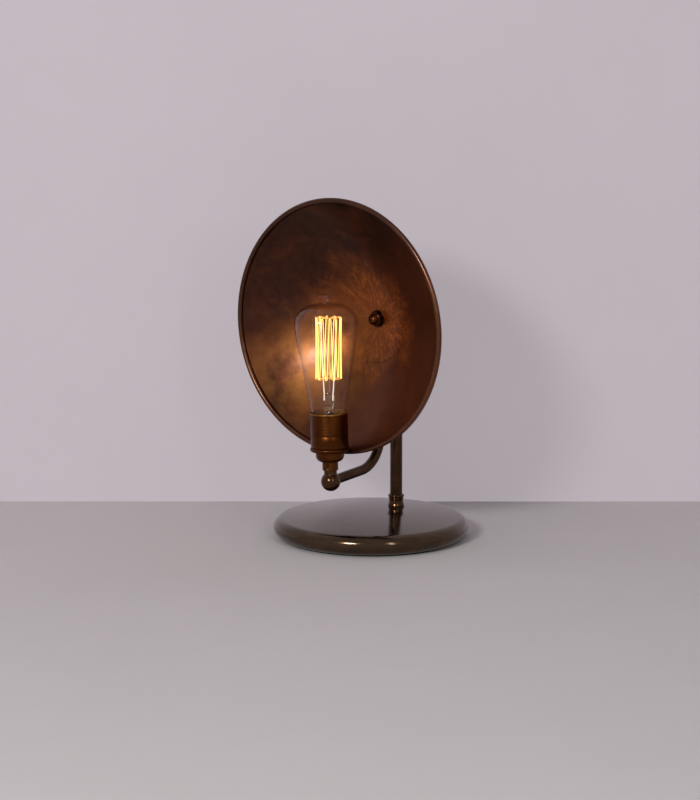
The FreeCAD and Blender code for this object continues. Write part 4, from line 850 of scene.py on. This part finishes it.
# %% Squirrel cage
HAIRPIN = 0.75
HAIRPIN_POINTS = 5
SAG = 0.35
FILAMENT_WIRE = 0.42
strand = np.linspace(0, 1, 24)
points = []
side = HAIRPIN / (2 * math.pi * CAGE_RADIUS / HOOKS)
for hook in range(HOOKS):
    ends = ((hook + side, CAGE_BOTTOM, hook + 0.5 - side, CAGE_TOP),
            (hook + 0.5 + side, CAGE_TOP, hook + 1 - side, CAGE_BOTTOM))
    for index, (from_step, from_z, to_step, to_z) in enumerate(ends):
        if hook == HOOKS - 1 and index == 1:
            continue
        up = 1 if to_z > from_z else -1
        steps = from_step + (to_step - from_step) * strand
        heights = from_z + up * HAIRPIN + (to_z - from_z - 2 * up * HAIRPIN) * strand
        bow = CAGE_RADIUS - SAG * np.sin(math.pi * strand)
        points += [cage_point(*values) for values in zip(steps, heights, bow)]
        middle = to_step + side
        for tip in np.linspace(0, math.pi, HAIRPIN_POINTS + 2)[1:-1]:
            points.append(cage_point(middle - side * math.cos(tip),
                                     to_z - up * HAIRPIN * (1 - math.sin(tip)), CAGE_RADIUS))
# the wire ends at the last upper hook, so the hairpin there is left off
cage = sweep("filament_cage", points[:-HAIRPIN_POINTS], FILAMENT_WIRE, CAGE, around=8)
fit(cage, "bulb", "filament_glow", "filament")

# %% [markdown]
# ## How the finishes are built
# Every finish is a small web of nodes on one Principled shader. The helper below keeps each one
# short to write. Colours are linear values. Patterns are made from noise in the piece's own
# coordinates, so they stay on the piece when it moves.


# %% Finish builder
FINISHES = {}


class Finish:
    """One material, built node by node around a Principled shader."""

    def __init__(self, name):
        self.material = bpy.data.materials.new(name)
        self.material.use_nodes = True
        self.tree = self.material.node_tree
        self.shader = self.tree.nodes["Principled BSDF"]
        self.place = self.add("TexCoord").outputs["Object"]
        FINISHES[name] = self

    def add(self, kind, **settings):
        """A new node, with its settings."""
        node = self.tree.nodes.new("ShaderNode" + kind)
        for name, value in settings.items():
            setattr(node, name, value)
        return node

    def feed(self, socket, value):
        """Links a socket, or sets its constant."""
        if isinstance(value, bpy.types.NodeSocket):
            self.tree.links.new(value, socket)
        elif hasattr(value, "__len__") and len(value) == 3 and len(socket.default_value) == 4:
            socket.default_value = (*value, 1.0)
        else:
            socket.default_value = value

    def set(self, **inputs):
        """Feeds the shader's inputs, named with _ for a space."""
        for name, value in inputs.items():
            self.feed(self.shader.inputs[name.replace("_", " ")], value)

    def math(self, operation, first, second=0.0):
        node = self.add("Math", operation=operation)
        self.feed(node.inputs[0], first)
        self.feed(node.inputs[1], second)
        return node.outputs[0]

    def times(self, first, second):
        return self.math("MULTIPLY", first, second)

    def plus(self, first, second):
        return self.math("ADD", first, second)

    def minus(self, first, second):
        return self.math("SUBTRACT", first, second)

    def vector(self, operation, first, second=(0, 0, 0)):
        node = self.add("VectorMath", operation=operation)
        self.feed(node.inputs[0], first)
        self.feed(node.inputs[1], second)
        return node.outputs["Value" if operation == "LENGTH" else "Vector"]

    def split(self, vector):
        node = self.add("SeparateXYZ")
        self.feed(node.inputs[0], vector)
        return node.outputs

    def combine(self, x, y, z):
        node = self.add("CombineXYZ")
        for socket, value in zip(node.inputs, (x, y, z)):
            self.feed(socket, value)
        return node.outputs[0]

    def noise(self, scale, detail=3.0, roughness=0.5, where=None, distortion=0.0):
        """Soft noise with a feature size of about 1 / scale metres."""
        node = self.add("TexNoise")
        self.feed(node.inputs["Vector"], self.place if where is None else where)
        self.feed(node.inputs["Scale"], float(scale))
        self.feed(node.inputs["Detail"], detail)
        self.feed(node.inputs["Roughness"], roughness)
        self.feed(node.inputs["Distortion"], distortion)
        return node.outputs[0]

    def range(self, value, low, high, to_low=0.0, to_high=1.0):
        """Maps a value between two limits, easing in and out."""
        node = self.add("MapRange", interpolation_type="SMOOTHSTEP")
        for socket, number in zip(node.inputs, (value, low, high, to_low, to_high)):
            self.feed(socket, number)
        return node.outputs[0]

    def mix(self, factor, first, second):
        """A colour between two colours."""
        node = self.add("Mix", data_type="RGBA")
        colours = [socket for socket in node.inputs if socket.type == "RGBA"]
        self.feed(node.inputs[0], factor)
        self.feed(colours[0], first)
        self.feed(colours[1], second)
        return [socket for socket in node.outputs if socket.type == "RGBA"][0]

    def bump(self, height, distance, strength=1.0, below=None):
        """A dented normal: the height is taken as the distance in metres times its value."""
        node = self.add("Bump")
        self.feed(node.inputs["Height"], height)
        self.feed(node.inputs["Distance"], distance)
        self.feed(node.inputs["Strength"], strength)
        if below is not None:
            self.feed(node.inputs["Normal"], below)
        return node.outputs[0]

    def wear(self):
        """The wear that the outline tools left on outer edges."""
        return self.add("Attribute", attribute_name="wear").outputs["Fac"]

    def lathe_lines(self, per_metre):
        """Fine lines round a turned piece: noise that only sees the distance along it."""
        along = self.split(self.add("UVMap").outputs[0])[1]
        return self.noise(1.0, 2.0, where=self.combine(0.0, self.times(along, per_metre), 0.0))


# %% [markdown]
# ## Dish patina
# A torch and a chemical wash colour spun copper. The colour is darkest up on the left and lighter
# towards the right. Round the nut the flame has left a corona of orange strokes that run outward
# like fur, strongest at the right. The strokes are noise laid out on the direction from the nut
# and drawn out along the radius. Mottled orange patches lie further out. A soft golden cloud low
# on the left is painted sheen, where the key light's blurred reflection spreads, and the rolled
# bead is painted lighter as a reflection of the wall. One of the spinner's rings is drawn darker.

# %% Where a point lies on the dish
dish_finish = Finish("dish_copper")
f = dish_finish
x, y, z = f.split(f.place)
z = f.minus(z, PIVOT_HEIGHT * MM)
r = f.math("SQRT", f.plus(f.times(x, x), f.times(z, z)))
r_safe = f.math("MAXIMUM", r, 0.001)
cos_t = f.math("DIVIDE", x, r_safe)
sin_t = f.math("DIVIDE", z, r_safe)
clouds = f.noise(14.0, 5.0, 0.6, distortion=0.6)
fine = f.noise(120.0, 5.0, 0.65)
wander = f.noise(26.0, 4.0, 0.6)

# %% [markdown]
# ## Corona
# Two sets of strokes, broad licks and fine hairs, fade out between two distances from the nut.
# The noise that moves the outer limit makes its edge ragged.

# %% Strokes round the nut
CORONA_FULL = 0.030
CORONA_END = 0.074
RAGGED = 0.075
REACH_LEFT = 0.007


def strokes(narrow, short, seed):
    """Noise on direction from the nut, drawn out along the radius into strokes."""
    along = f.plus(f.times(r, short), seed)
    place = f.combine(f.times(cos_t, narrow), f.times(sin_t, narrow), along)
    return f.noise(1.0, 5.0, 0.6, place, 1.1)


licks = f.range(strokes(9.0, 95.0, 0.0), 0.46, 0.66)
hairs = f.range(strokes(26.0, 150.0, 7.0), 0.44, 0.70)
# the strokes are strongest at the right and above, and reach a little further at the left
strength = f.plus(0.75, f.plus(f.times(sin_t, 0.12), f.times(cos_t, 0.45)))
reach = f.plus(f.times(f.minus(wander, 0.5), RAGGED), f.times(cos_t, -REACH_LEFT))
corona = f.range(f.minus(r, reach), CORONA_END, CORONA_FULL)
flecks = f.plus(f.times(licks, 0.6), f.times(hairs, 0.35))
orange = f.times(corona, f.plus(0.22, f.times(flecks, strength)))
print("corona full at", CORONA_FULL / MM, "mm and gone at", CORONA_END / MM, "mm")

# %% [markdown]
# ## Brown ground, patches, painted sheen and a darker ring
# The colours are laid one over the other: the wash and the flame first, then painted sheen and
# reflection, and a darker ring.

# %% Layers of the patina
DARK_WASH = (0.042, 0.0100, 0.0036)
WARM_WASH = (0.200, 0.053, 0.014)
SPECKS = (0.13, 0.042, 0.014)
PATCHES = (0.26, 0.080, 0.018)
PAINTED_SHEEN_GOLD = (0.32, 0.120, 0.026)
FLAME = (0.56, 0.145, 0.018)
DARK_RING_COLOUR = (0.02, 0.009, 0.006)
RIM_PAINTED_REFLECTION = (0.10, 0.048, 0.028)
PAINTED_SHEEN_CENTRE = (-0.055, 0.0, -0.055)
DARK_RING_RADIUS = 0.0440
# the colour is darkest up on the left and grows lighter towards the right
wear_and_tone = f.times(f.minus(x, f.times(z, 0.5)), 1.8)
tinted = f.mix(f.range(f.plus(clouds, wear_and_tone), 0.3, 0.85), DARK_WASH, WARM_WASH)
tinted = f.mix(f.times(f.range(fine, 0.35, 0.8), 0.35), tinted, SPECKS)
patches = f.times(f.range(f.noise(19.0, 5.0, 0.62, distortion=1.4), 0.54, 0.70),
                  f.range(r, 0.115, 0.07))
tinted = f.mix(f.times(patches, 0.55), tinted, PATCHES)
# painted sheen: a golden glow low on the left, where the key light's blurred reflection spreads
# over the dish
from_sheen_centre = f.vector("LENGTH", f.vector("SUBTRACT", f.combine(x, 0.0, z), PAINTED_SHEEN_CENTRE))
painted_sheen = f.times(f.range(from_sheen_centre, 0.085, 0.02), f.range(wander, 0.3, 0.7))
tinted = f.mix(f.times(painted_sheen, 0.7), tinted, PAINTED_SHEEN_GOLD)
tinted = f.mix(orange, tinted, FLAME)
# one of the spinner's rings is drawn darker, low on the right
below_right = f.minus(f.times(cos_t, 0.5), f.times(sin_t, 0.87))
ring_line = f.range(f.math("ABSOLUTE", f.minus(r, DARK_RING_RADIUS)), 0.0007, 0.0002)
darker_ring_part = f.times(ring_line, f.range(below_right, 0.75, 0.92))
tinted = f.mix(f.times(darker_ring_part, 0.6), tinted, DARK_RING_COLOUR)
# painted reflection: the rolled bead is drawn lighter and greyer, where it mirrors the wall
tinted = f.mix(f.times(f.range(r, 0.1225, 0.1255), 0.5), tinted, RIM_PAINTED_REFLECTION)
print("darker ring", round(DARK_RING_RADIUS / MM, 1), "mm from the bolt")

# %% [markdown]
# ## Sheen of the dish
# The spinner's rings, the grain and long soft dents bend the reflections. A thin wax coat gives
# the highlight its creamy middle.

# %% Rings, dents and wax
rings = f.noise(1.0, 3.0, 0.6, f.combine(0.0, 0.0, f.times(r, 900.0)))
dents = f.bump(wander, 0.0012, 0.35)
normal = f.bump(rings, 0.00002, 0.6, f.bump(fine, 0.00006, 0.5, dents))
roughness = f.range(f.plus(clouds, f.times(fine, 0.3)), 0.4, 0.9, 0.29, 0.40)
f.set(Base_Color=tinted, Metallic=0.95, Roughness=roughness, Normal=normal, Coat_Weight=0.28,
      Coat_Roughness=0.2)
print(len(f.tree.nodes), "nodes in the dish's finish")

# %% [markdown]
# ## Aged bronze, holder brass and the polished base
# All the turned metals share one recipe. Lathe lines and soft clouds vary a dark and a light
# tone, and the wear on the outer edges shows the brighter metal below. The base is smoother and
# lacquered, with a few wiping smears. The holder is redder, and golden where hands have rubbed it.


# %% Turned metal finishes
def turned_metal(name, deep, light, wear_and_tone, rough, coat=0.0, lines=2500.0, smears=0.0,
                 metal=1.0):
    """A patinated turned metal: two tones by noise, brighter metal on worn edges."""
    f = Finish(name)
    clouds = f.noise(38.0, 5.0, 0.62, distortion=0.5)
    grain = f.noise(420.0, 4.0, 0.6)
    turning = f.lathe_lines(lines)
    tone = f.plus(f.times(clouds, 0.8), f.times(turning, 0.15))
    colour = f.mix(f.range(tone, 0.36, 0.72), deep, light)
    wear = f.wear()
    # a wear above 1 marks painted light: plain brass where the filament's glow falls inside the
    # sleeve
    painted_inside_glow = f.range(wear, 1.3, 1.9)
    edge = f.times(f.math("MINIMUM", wear, 1.0), f.range(f.noise(160.0, 4.0, 0.7), 0.3, 0.6))
    colour = f.mix(f.times(edge, 0.8), colour, wear_and_tone)
    colour = f.mix(painted_inside_glow, colour, wear_and_tone)
    rough_noise = f.plus(f.times(grain, 0.5), f.times(clouds, 0.5))
    roughness = f.range(rough_noise, 0.3, 0.7, rough * 0.9, rough * 1.15)
    if smears:
        wipe = f.noise(5.0, 4.0, 0.6, f.vector("MULTIPLY", f.place, (1.0, 3.5, 1.0)), 1.2)
        roughness = f.plus(roughness, f.times(f.range(wipe, 0.5, 0.75), smears))
    roughness = f.plus(roughness, f.times(painted_inside_glow, 0.25))
    normal = f.bump(turning, 0.000004, 0.3, f.bump(grain, 0.000003, 0.2))
    f.set(Base_Color=colour, Metallic=metal, Roughness=roughness, Normal=normal,
          Coat_Weight=coat, Coat_Roughness=0.08)


# each line: name, deep tone, light tone, rubbed metal, roughness
turned_metal("aged_bronze", (0.046, 0.022, 0.010), (0.092, 0.046, 0.020), (0.34, 0.19, 0.08),
             0.16, metal=0.9)
turned_metal("nut_bronze", (0.050, 0.016, 0.006), (0.110, 0.040, 0.014), (0.34, 0.15, 0.05), 0.27)
turned_metal("holder_brass", (0.070, 0.019, 0.0045), (0.135, 0.045, 0.010), (0.48, 0.24, 0.07),
             0.34)
turned_metal("base_bronze", (0.060, 0.034, 0.016), (0.105, 0.062, 0.030), (0.20, 0.13, 0.08),
             0.15, coat=0.45, lines=900.0, smears=0.04)
turned_metal("plain_brass", (0.46, 0.30, 0.10), (0.60, 0.42, 0.16), (0.75, 0.58, 0.28), 0.26)
turned_metal("plated_steel", (0.34, 0.34, 0.33), (0.47, 0.47, 0.45), (0.62, 0.62, 0.60), 0.30)
turned_metal("bulb_metal", (0.55, 0.42, 0.22), (0.68, 0.54, 0.30), (0.8, 0.68, 0.42), 0.22)
turned_metal("bulb_wire", (0.58, 0.53, 0.47), (0.72, 0.68, 0.62), (0.8, 0.76, 0.7), 0.24)
turned_metal("hooks_lit_glow", (0.50, 0.33, 0.20), (0.62, 0.42, 0.26), (0.7, 0.5, 0.3), 0.3)
turned_metal("cast_iron", (0.035, 0.034, 0.033), (0.075, 0.07, 0.066), (0.13, 0.12, 0.11), 0.62,
             metal=0.7)
# the wires next to the filament are lit by it, which its small glow in the scene can't show
FINISHES["bulb_wire"].set(Emission_Color=(1.0, 0.88, 0.74), Emission_Strength=0.75)
FINISHES["hooks_lit_glow"].set(Emission_Color=(1.0, 0.40, 0.07), Emission_Strength=1.3)
print(len(FINISHES), "finishes so far")

# %% [markdown]
# ## Felt, porcelain, sleeve and glass
# Felt is matted fibre: fine noise for the fibres and a soft sheen. Porcelain is white with a clear
# glaze and the odd speck. The flex has a woven brown sleeve. The bulb's wall is under a millimetre
# thick, so it bends light very little. It is written as clear film that mirrors more and more as
# it turns edge-on, by the fifth power of the facing, and tints slightly there.


# %% Soft and glazed finishes
def simple(name, deep, light, scale, rough, dent, **inputs):
    """Two tones by noise, with a bump of the same noise."""
    f = Finish(name)
    grain = f.noise(scale, 6.0, 0.65)
    cloud = f.noise(scale / 12, 3.0, 0.5)
    tone = f.plus(f.times(grain, 0.6), f.times(cloud, 0.4))
    f.set(Base_Color=f.mix(f.range(tone, 0.3, 0.7), deep, light),
          Roughness=f.range(cloud, 0.3, 0.7, rough * 0.9, min(rough * 1.1, 1.0)),
          Normal=f.bump(grain, dent, 0.6), **inputs)


# each line: name, deep tone, light tone, noise per metre, roughness, depth in metres
simple("felt", (0.008, 0.020, 0.012), (0.022, 0.048, 0.030), 1500.0, 0.95, 0.0003,
       Sheen_Weight=0.4)
simple("porcelain", (0.70, 0.67, 0.60), (0.82, 0.80, 0.74), 240.0, 0.18, 0.00003, Coat_Weight=0.5)
simple("flex_cover", (0.045, 0.025, 0.014), (0.12, 0.07, 0.04), 2400.0, 0.8, 0.0002)
simple("insulator_glass", (0.012, 0.008, 0.016), (0.03, 0.02, 0.035), 200.0, 0.12, 0.00002)


def thin_glass(name, tint, edge_tint, mirror):
    """Clear thin glass: a see-through film whose reflection and tint grow as it turns edge-on."""
    f = Finish(name)
    facing = f.add("LayerWeight")
    facing.inputs["Blend"].default_value = 0.5
    edge = facing.outputs["Facing"]
    strong = f.math("POWER", edge, 5.0)
    ripple = f.noise(55.0, 2.0, 0.4)
    reflect = f.plus(mirror, f.times(strong, 0.75))
    clear = f.add("BsdfTransparent")
    f.feed(clear.inputs["Color"], f.mix(f.math("POWER", edge, 3.0), tint, edge_tint))
    gloss = f.add("BsdfGlossy")
    f.feed(gloss.inputs["Roughness"], f.range(ripple, 0.2, 0.8, 0.02, 0.06))
    f.feed(gloss.inputs["Color"], (1.0, 0.97, 0.95))
    f.feed(gloss.inputs["Normal"], f.bump(ripple, 0.0002, 0.3))
    blend = f.add("MixShader")
    f.feed(blend.inputs[0], reflect)
    f.feed(blend.inputs[1], clear.outputs[0])
    f.feed(blend.inputs[2], gloss.outputs[0])
    output = next(node for node in f.tree.nodes if node.type == "OUTPUT_MATERIAL")
    f.tree.links.new(blend.outputs[0], output.inputs["Surface"])
    f.tree.nodes.remove(f.shader)


thin_glass("bulb_glass", (0.985, 0.975, 0.965), (0.72, 0.67, 0.65), 0.012)
# the press and the rod are solid glass, so they bend light
f = Finish("mount_glass")
f.set(Base_Color=f.mix(f.noise(300.0), (0.90, 0.86, 0.80), (0.98, 0.96, 0.93)),
      Transmission_Weight=1.0, IOR=1.5, Normal=f.bump(f.noise(250.0), 0.0002),
      Roughness=f.range(f.noise(90.0), 0.2, 0.8, 0.0, 0.06))
print(len(FINISHES), "finishes with cloth, glaze and glass")

# %% [markdown]
# ## Glow
# The hot wire is yellow-white where it faces us and deeper orange at its outline, where the view
# passes through less of the glowing coil.

# %% Glowing filament
GLOW = 1.9
COIL_PITCH = 0.0009
f = Finish("filament_glow")
facing = f.add("LayerWeight")
facing.inputs["Blend"].default_value = 0.5
coil = f.times(f.split(f.add("UVMap").outputs[0])[1], 2 * math.pi / COIL_PITCH)
turns_seen = f.range(f.math("SINE", coil), -1.0, 1.0, 0.85, 1.15)
heat = f.mix(f.math("POWER", facing.outputs["Facing"], 1.6), (1.0, 0.74, 0.17),
             (1.0, 0.36, 0.035))
f.set(Base_Color=(0.08, 0.05, 0.03), Roughness=0.6, Emission_Color=heat,
      Emission_Strength=f.times(turns_seen, GLOW))
print("coil pitch", round(COIL_PITCH / MM, 2), "mm")

# %% [markdown]
# ## Dress every piece
# A drawn piece takes the finish of its slot, but the nut, the washer and the hooks have one of
# their own; the hooks' glow is painted light from the filament. The frame's own nodes that still
# show take the finish of their slot in the record.

# %% Give each piece its finish
OWN_FINISH = {"dome_nut_turned": "nut_bronze", "dish_washer_turned": "nut_bronze",
              "hooks_bent": "hooks_lit_glow"}
for piece, slot in PIECES:
    piece.data.materials.clear()
    piece.data.materials.append(FINISHES[OWN_FINISH.get(piece.name, slot)].material)
slots = {part["node"]: part["material_slot"] for part in frame["record"]["subparts"]}
# the grub screw is drawn dark as painted shade down in its hole, where only its socket shows
slots["neck_grub_screw"] = "cast_iron"
for name, thing in NODES.items():
    thing.data.materials.clear()
    thing.data.materials.append(FINISHES[slots[name]].material)
print(len(PIECES), "drawn pieces,", len(NODES), "frame nodes dressed")

# %% [markdown]
# ## Stage
# The lamp stands on a plain pale floor close in front of a pale wall, as in the photo, where the
# base mirrors that wall. The wall faces the camera and is clear from behind, so the lamp can be
# looked at from every side. What the eye, a mirror or glass sees of the wall is partly an even
# tone, which throws no light of its own on the lamp's diffuse surfaces.

# %% Floor and wall
AZIMUTH = math.radians(37.97)
ELEVATION = math.radians(10.24)
WALL_BEHIND = 0.17
WALL_COLOUR = (0.66, 0.595, 0.645)
FLOOR_COLOUR = (0.60, 0.57, 0.57)
STAGE_HALF = 6
# the wall shows more than half of its colour evenly, so that the lamp's shadow on it stays soft
EVEN_SHARE = 0.6
EVEN_LEVEL = 0.80


def sheet_of(name, corners, colour, one_sided=False):
    """A flat stage sheet through four corners, in metres."""
    mesh = bpy.data.meshes.new(name)
    mesh.from_pydata(corners, [], [(0, 1, 2, 3)])
    thing = bpy.data.objects.new(name, mesh)
    bpy.context.scene.collection.objects.link(thing)
    f = Finish(name)
    mottle = f.noise(6.0, 4.0, 0.6)
    tint = f.mix(mottle, tuple(c * 0.94 for c in colour), colour)
    f.set(Base_Color=tint, Roughness=0.9)
    if one_sided:
        f.set(Alpha=f.minus(1.0, f.add("NewGeometry").outputs["Backfacing"]))
        rays = f.add("LightPath").outputs
        seen = f.math("MAXIMUM", rays["Is Camera Ray"],
                      f.math("MAXIMUM", rays["Is Glossy Ray"], rays["Is Transmission Ray"]))
        lit_share = f.times(seen, EVEN_SHARE)
        f.set(Base_Color=f.mix(lit_share, tint, (0.0, 0.0, 0.0)), Emission_Color=tint,
              Emission_Strength=f.times(lit_share, EVEN_LEVEL))
    mesh.materials.append(f.material)
    thing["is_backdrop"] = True


toward = Vector((math.sin(AZIMUTH), -math.cos(AZIMUTH), 0))
sideways = Vector((math.cos(AZIMUTH), math.sin(AZIMUTH), 0))
foot = -toward * WALL_BEHIND
left_foot = foot - sideways * STAGE_HALF
right_foot = foot + sideways * STAGE_HALF
wall_height = Vector((0, 0, STAGE_HALF))
floor_corners = [(-STAGE_HALF, -STAGE_HALF, 0), (STAGE_HALF, -STAGE_HALF, 0),
                 (STAGE_HALF, STAGE_HALF, 0), (-STAGE_HALF, STAGE_HALF, 0)]
wall_corners = [left_foot, right_foot, right_foot + wall_height,
                left_foot + wall_height]
sheet_of("floor", floor_corners, FLOOR_COLOUR)
sheet_of("wall", wall_corners, WALL_COLOUR, one_sided=True)
print("wall", WALL_BEHIND, "m behind the bolt")

# %% [markdown]
# ## Light
# The blurred highlight on the dish tells where the key light was: a mirror there would look
# towards a point to the left of the camera and some twenty degrees up. So one soft box stands
# there, three metres off. A weaker, tall one at the right puts the streak down the stem and the
# second glint on the base's edge, and an even sky fills the rest.


# %% Soft boxes and sky
AIM = Vector((0, 0, 0.2))


def light_at(azimuth, elevation, distance):
    """A place seen from the lamp at an azimuth and an elevation, in degrees."""
    across, up = math.radians(azimuth), math.radians(elevation)
    return Vector((math.sin(across) * math.cos(up), -math.cos(across) * math.cos(up),
                   math.sin(up))) * distance + AIM


def soft_box(name, where, size, power):
    """A rectangular lamp at a place, facing the middle of the table lamp, in metres."""
    lamp = bpy.data.lights.new(name, "AREA")
    lamp.shape = "RECTANGLE"
    lamp.size, lamp.size_y = size
    lamp.energy = power
    holder = bpy.data.objects.new(name, lamp)
    holder.location = where
    holder.rotation_euler = (AIM - where).to_track_quat("-Z", "Y").to_euler()
    bpy.context.scene.collection.objects.link(holder)


soft_box("key", light_at(12, 23, 3.0), (0.55, 0.4), 40)
soft_box("right", light_at(62, 21, 2.4), (0.2, 0.9), 4.5)

world = bpy.data.worlds.new("room")
bpy.context.scene.world = world
world.use_nodes = True
sky = world.node_tree.nodes["Background"]
sky.inputs["Color"].default_value = (0.80, 0.76, 0.77, 1.0)
sky.inputs["Strength"].default_value = 0.5
print(len(bpy.data.lights), "lamps and an even sky")

# %% [markdown]
# ## Camera
# The camera was found by fitting a perspective view to the outlines of base, stem, dish, arm and
# bulb in the photo: three metres off, 38 degrees to the right of the dish and 10 degrees up.

# %% Camera
CAMERA_PLACE = (1.829379, -2.378954, 0.684264)
back = Vector((math.sin(AZIMUTH) * math.cos(ELEVATION),
               -math.cos(AZIMUTH) * math.cos(ELEVATION), math.sin(ELEVATION)))
right = Vector((math.cos(AZIMUTH), math.sin(AZIMUTH), 0))
up = back.cross(right)
lens = bpy.data.cameras.new("camera")
lens.lens = 135
lens.sensor_width = 36
camera = bpy.data.objects.new("camera", lens)
camera.matrix_world = Matrix((
    (right.x, up.x, back.x, CAMERA_PLACE[0]), (right.y, up.y, back.y, CAMERA_PLACE[1]),
    (right.z, up.z, back.z, CAMERA_PLACE[2]), (0, 0, 0, 1)))
bpy.context.scene.collection.objects.link(camera)
bpy.context.scene.camera = camera
bpy.context.scene.view_settings.view_transform = "Standard"
print("camera", round(Vector(CAMERA_PLACE).length, 2), "m from the lamp's foot")

# %% [markdown]
# ## The two boxes
# The engineering model's box and the drawn lamp's are printed side by side.

# %% Print the two boxes
end_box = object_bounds()
for name, box in (("cad", start_box), ("visual", end_box)):
    print(name, [tuple(round(c / MM, 2) for c in corner) for corner in box])
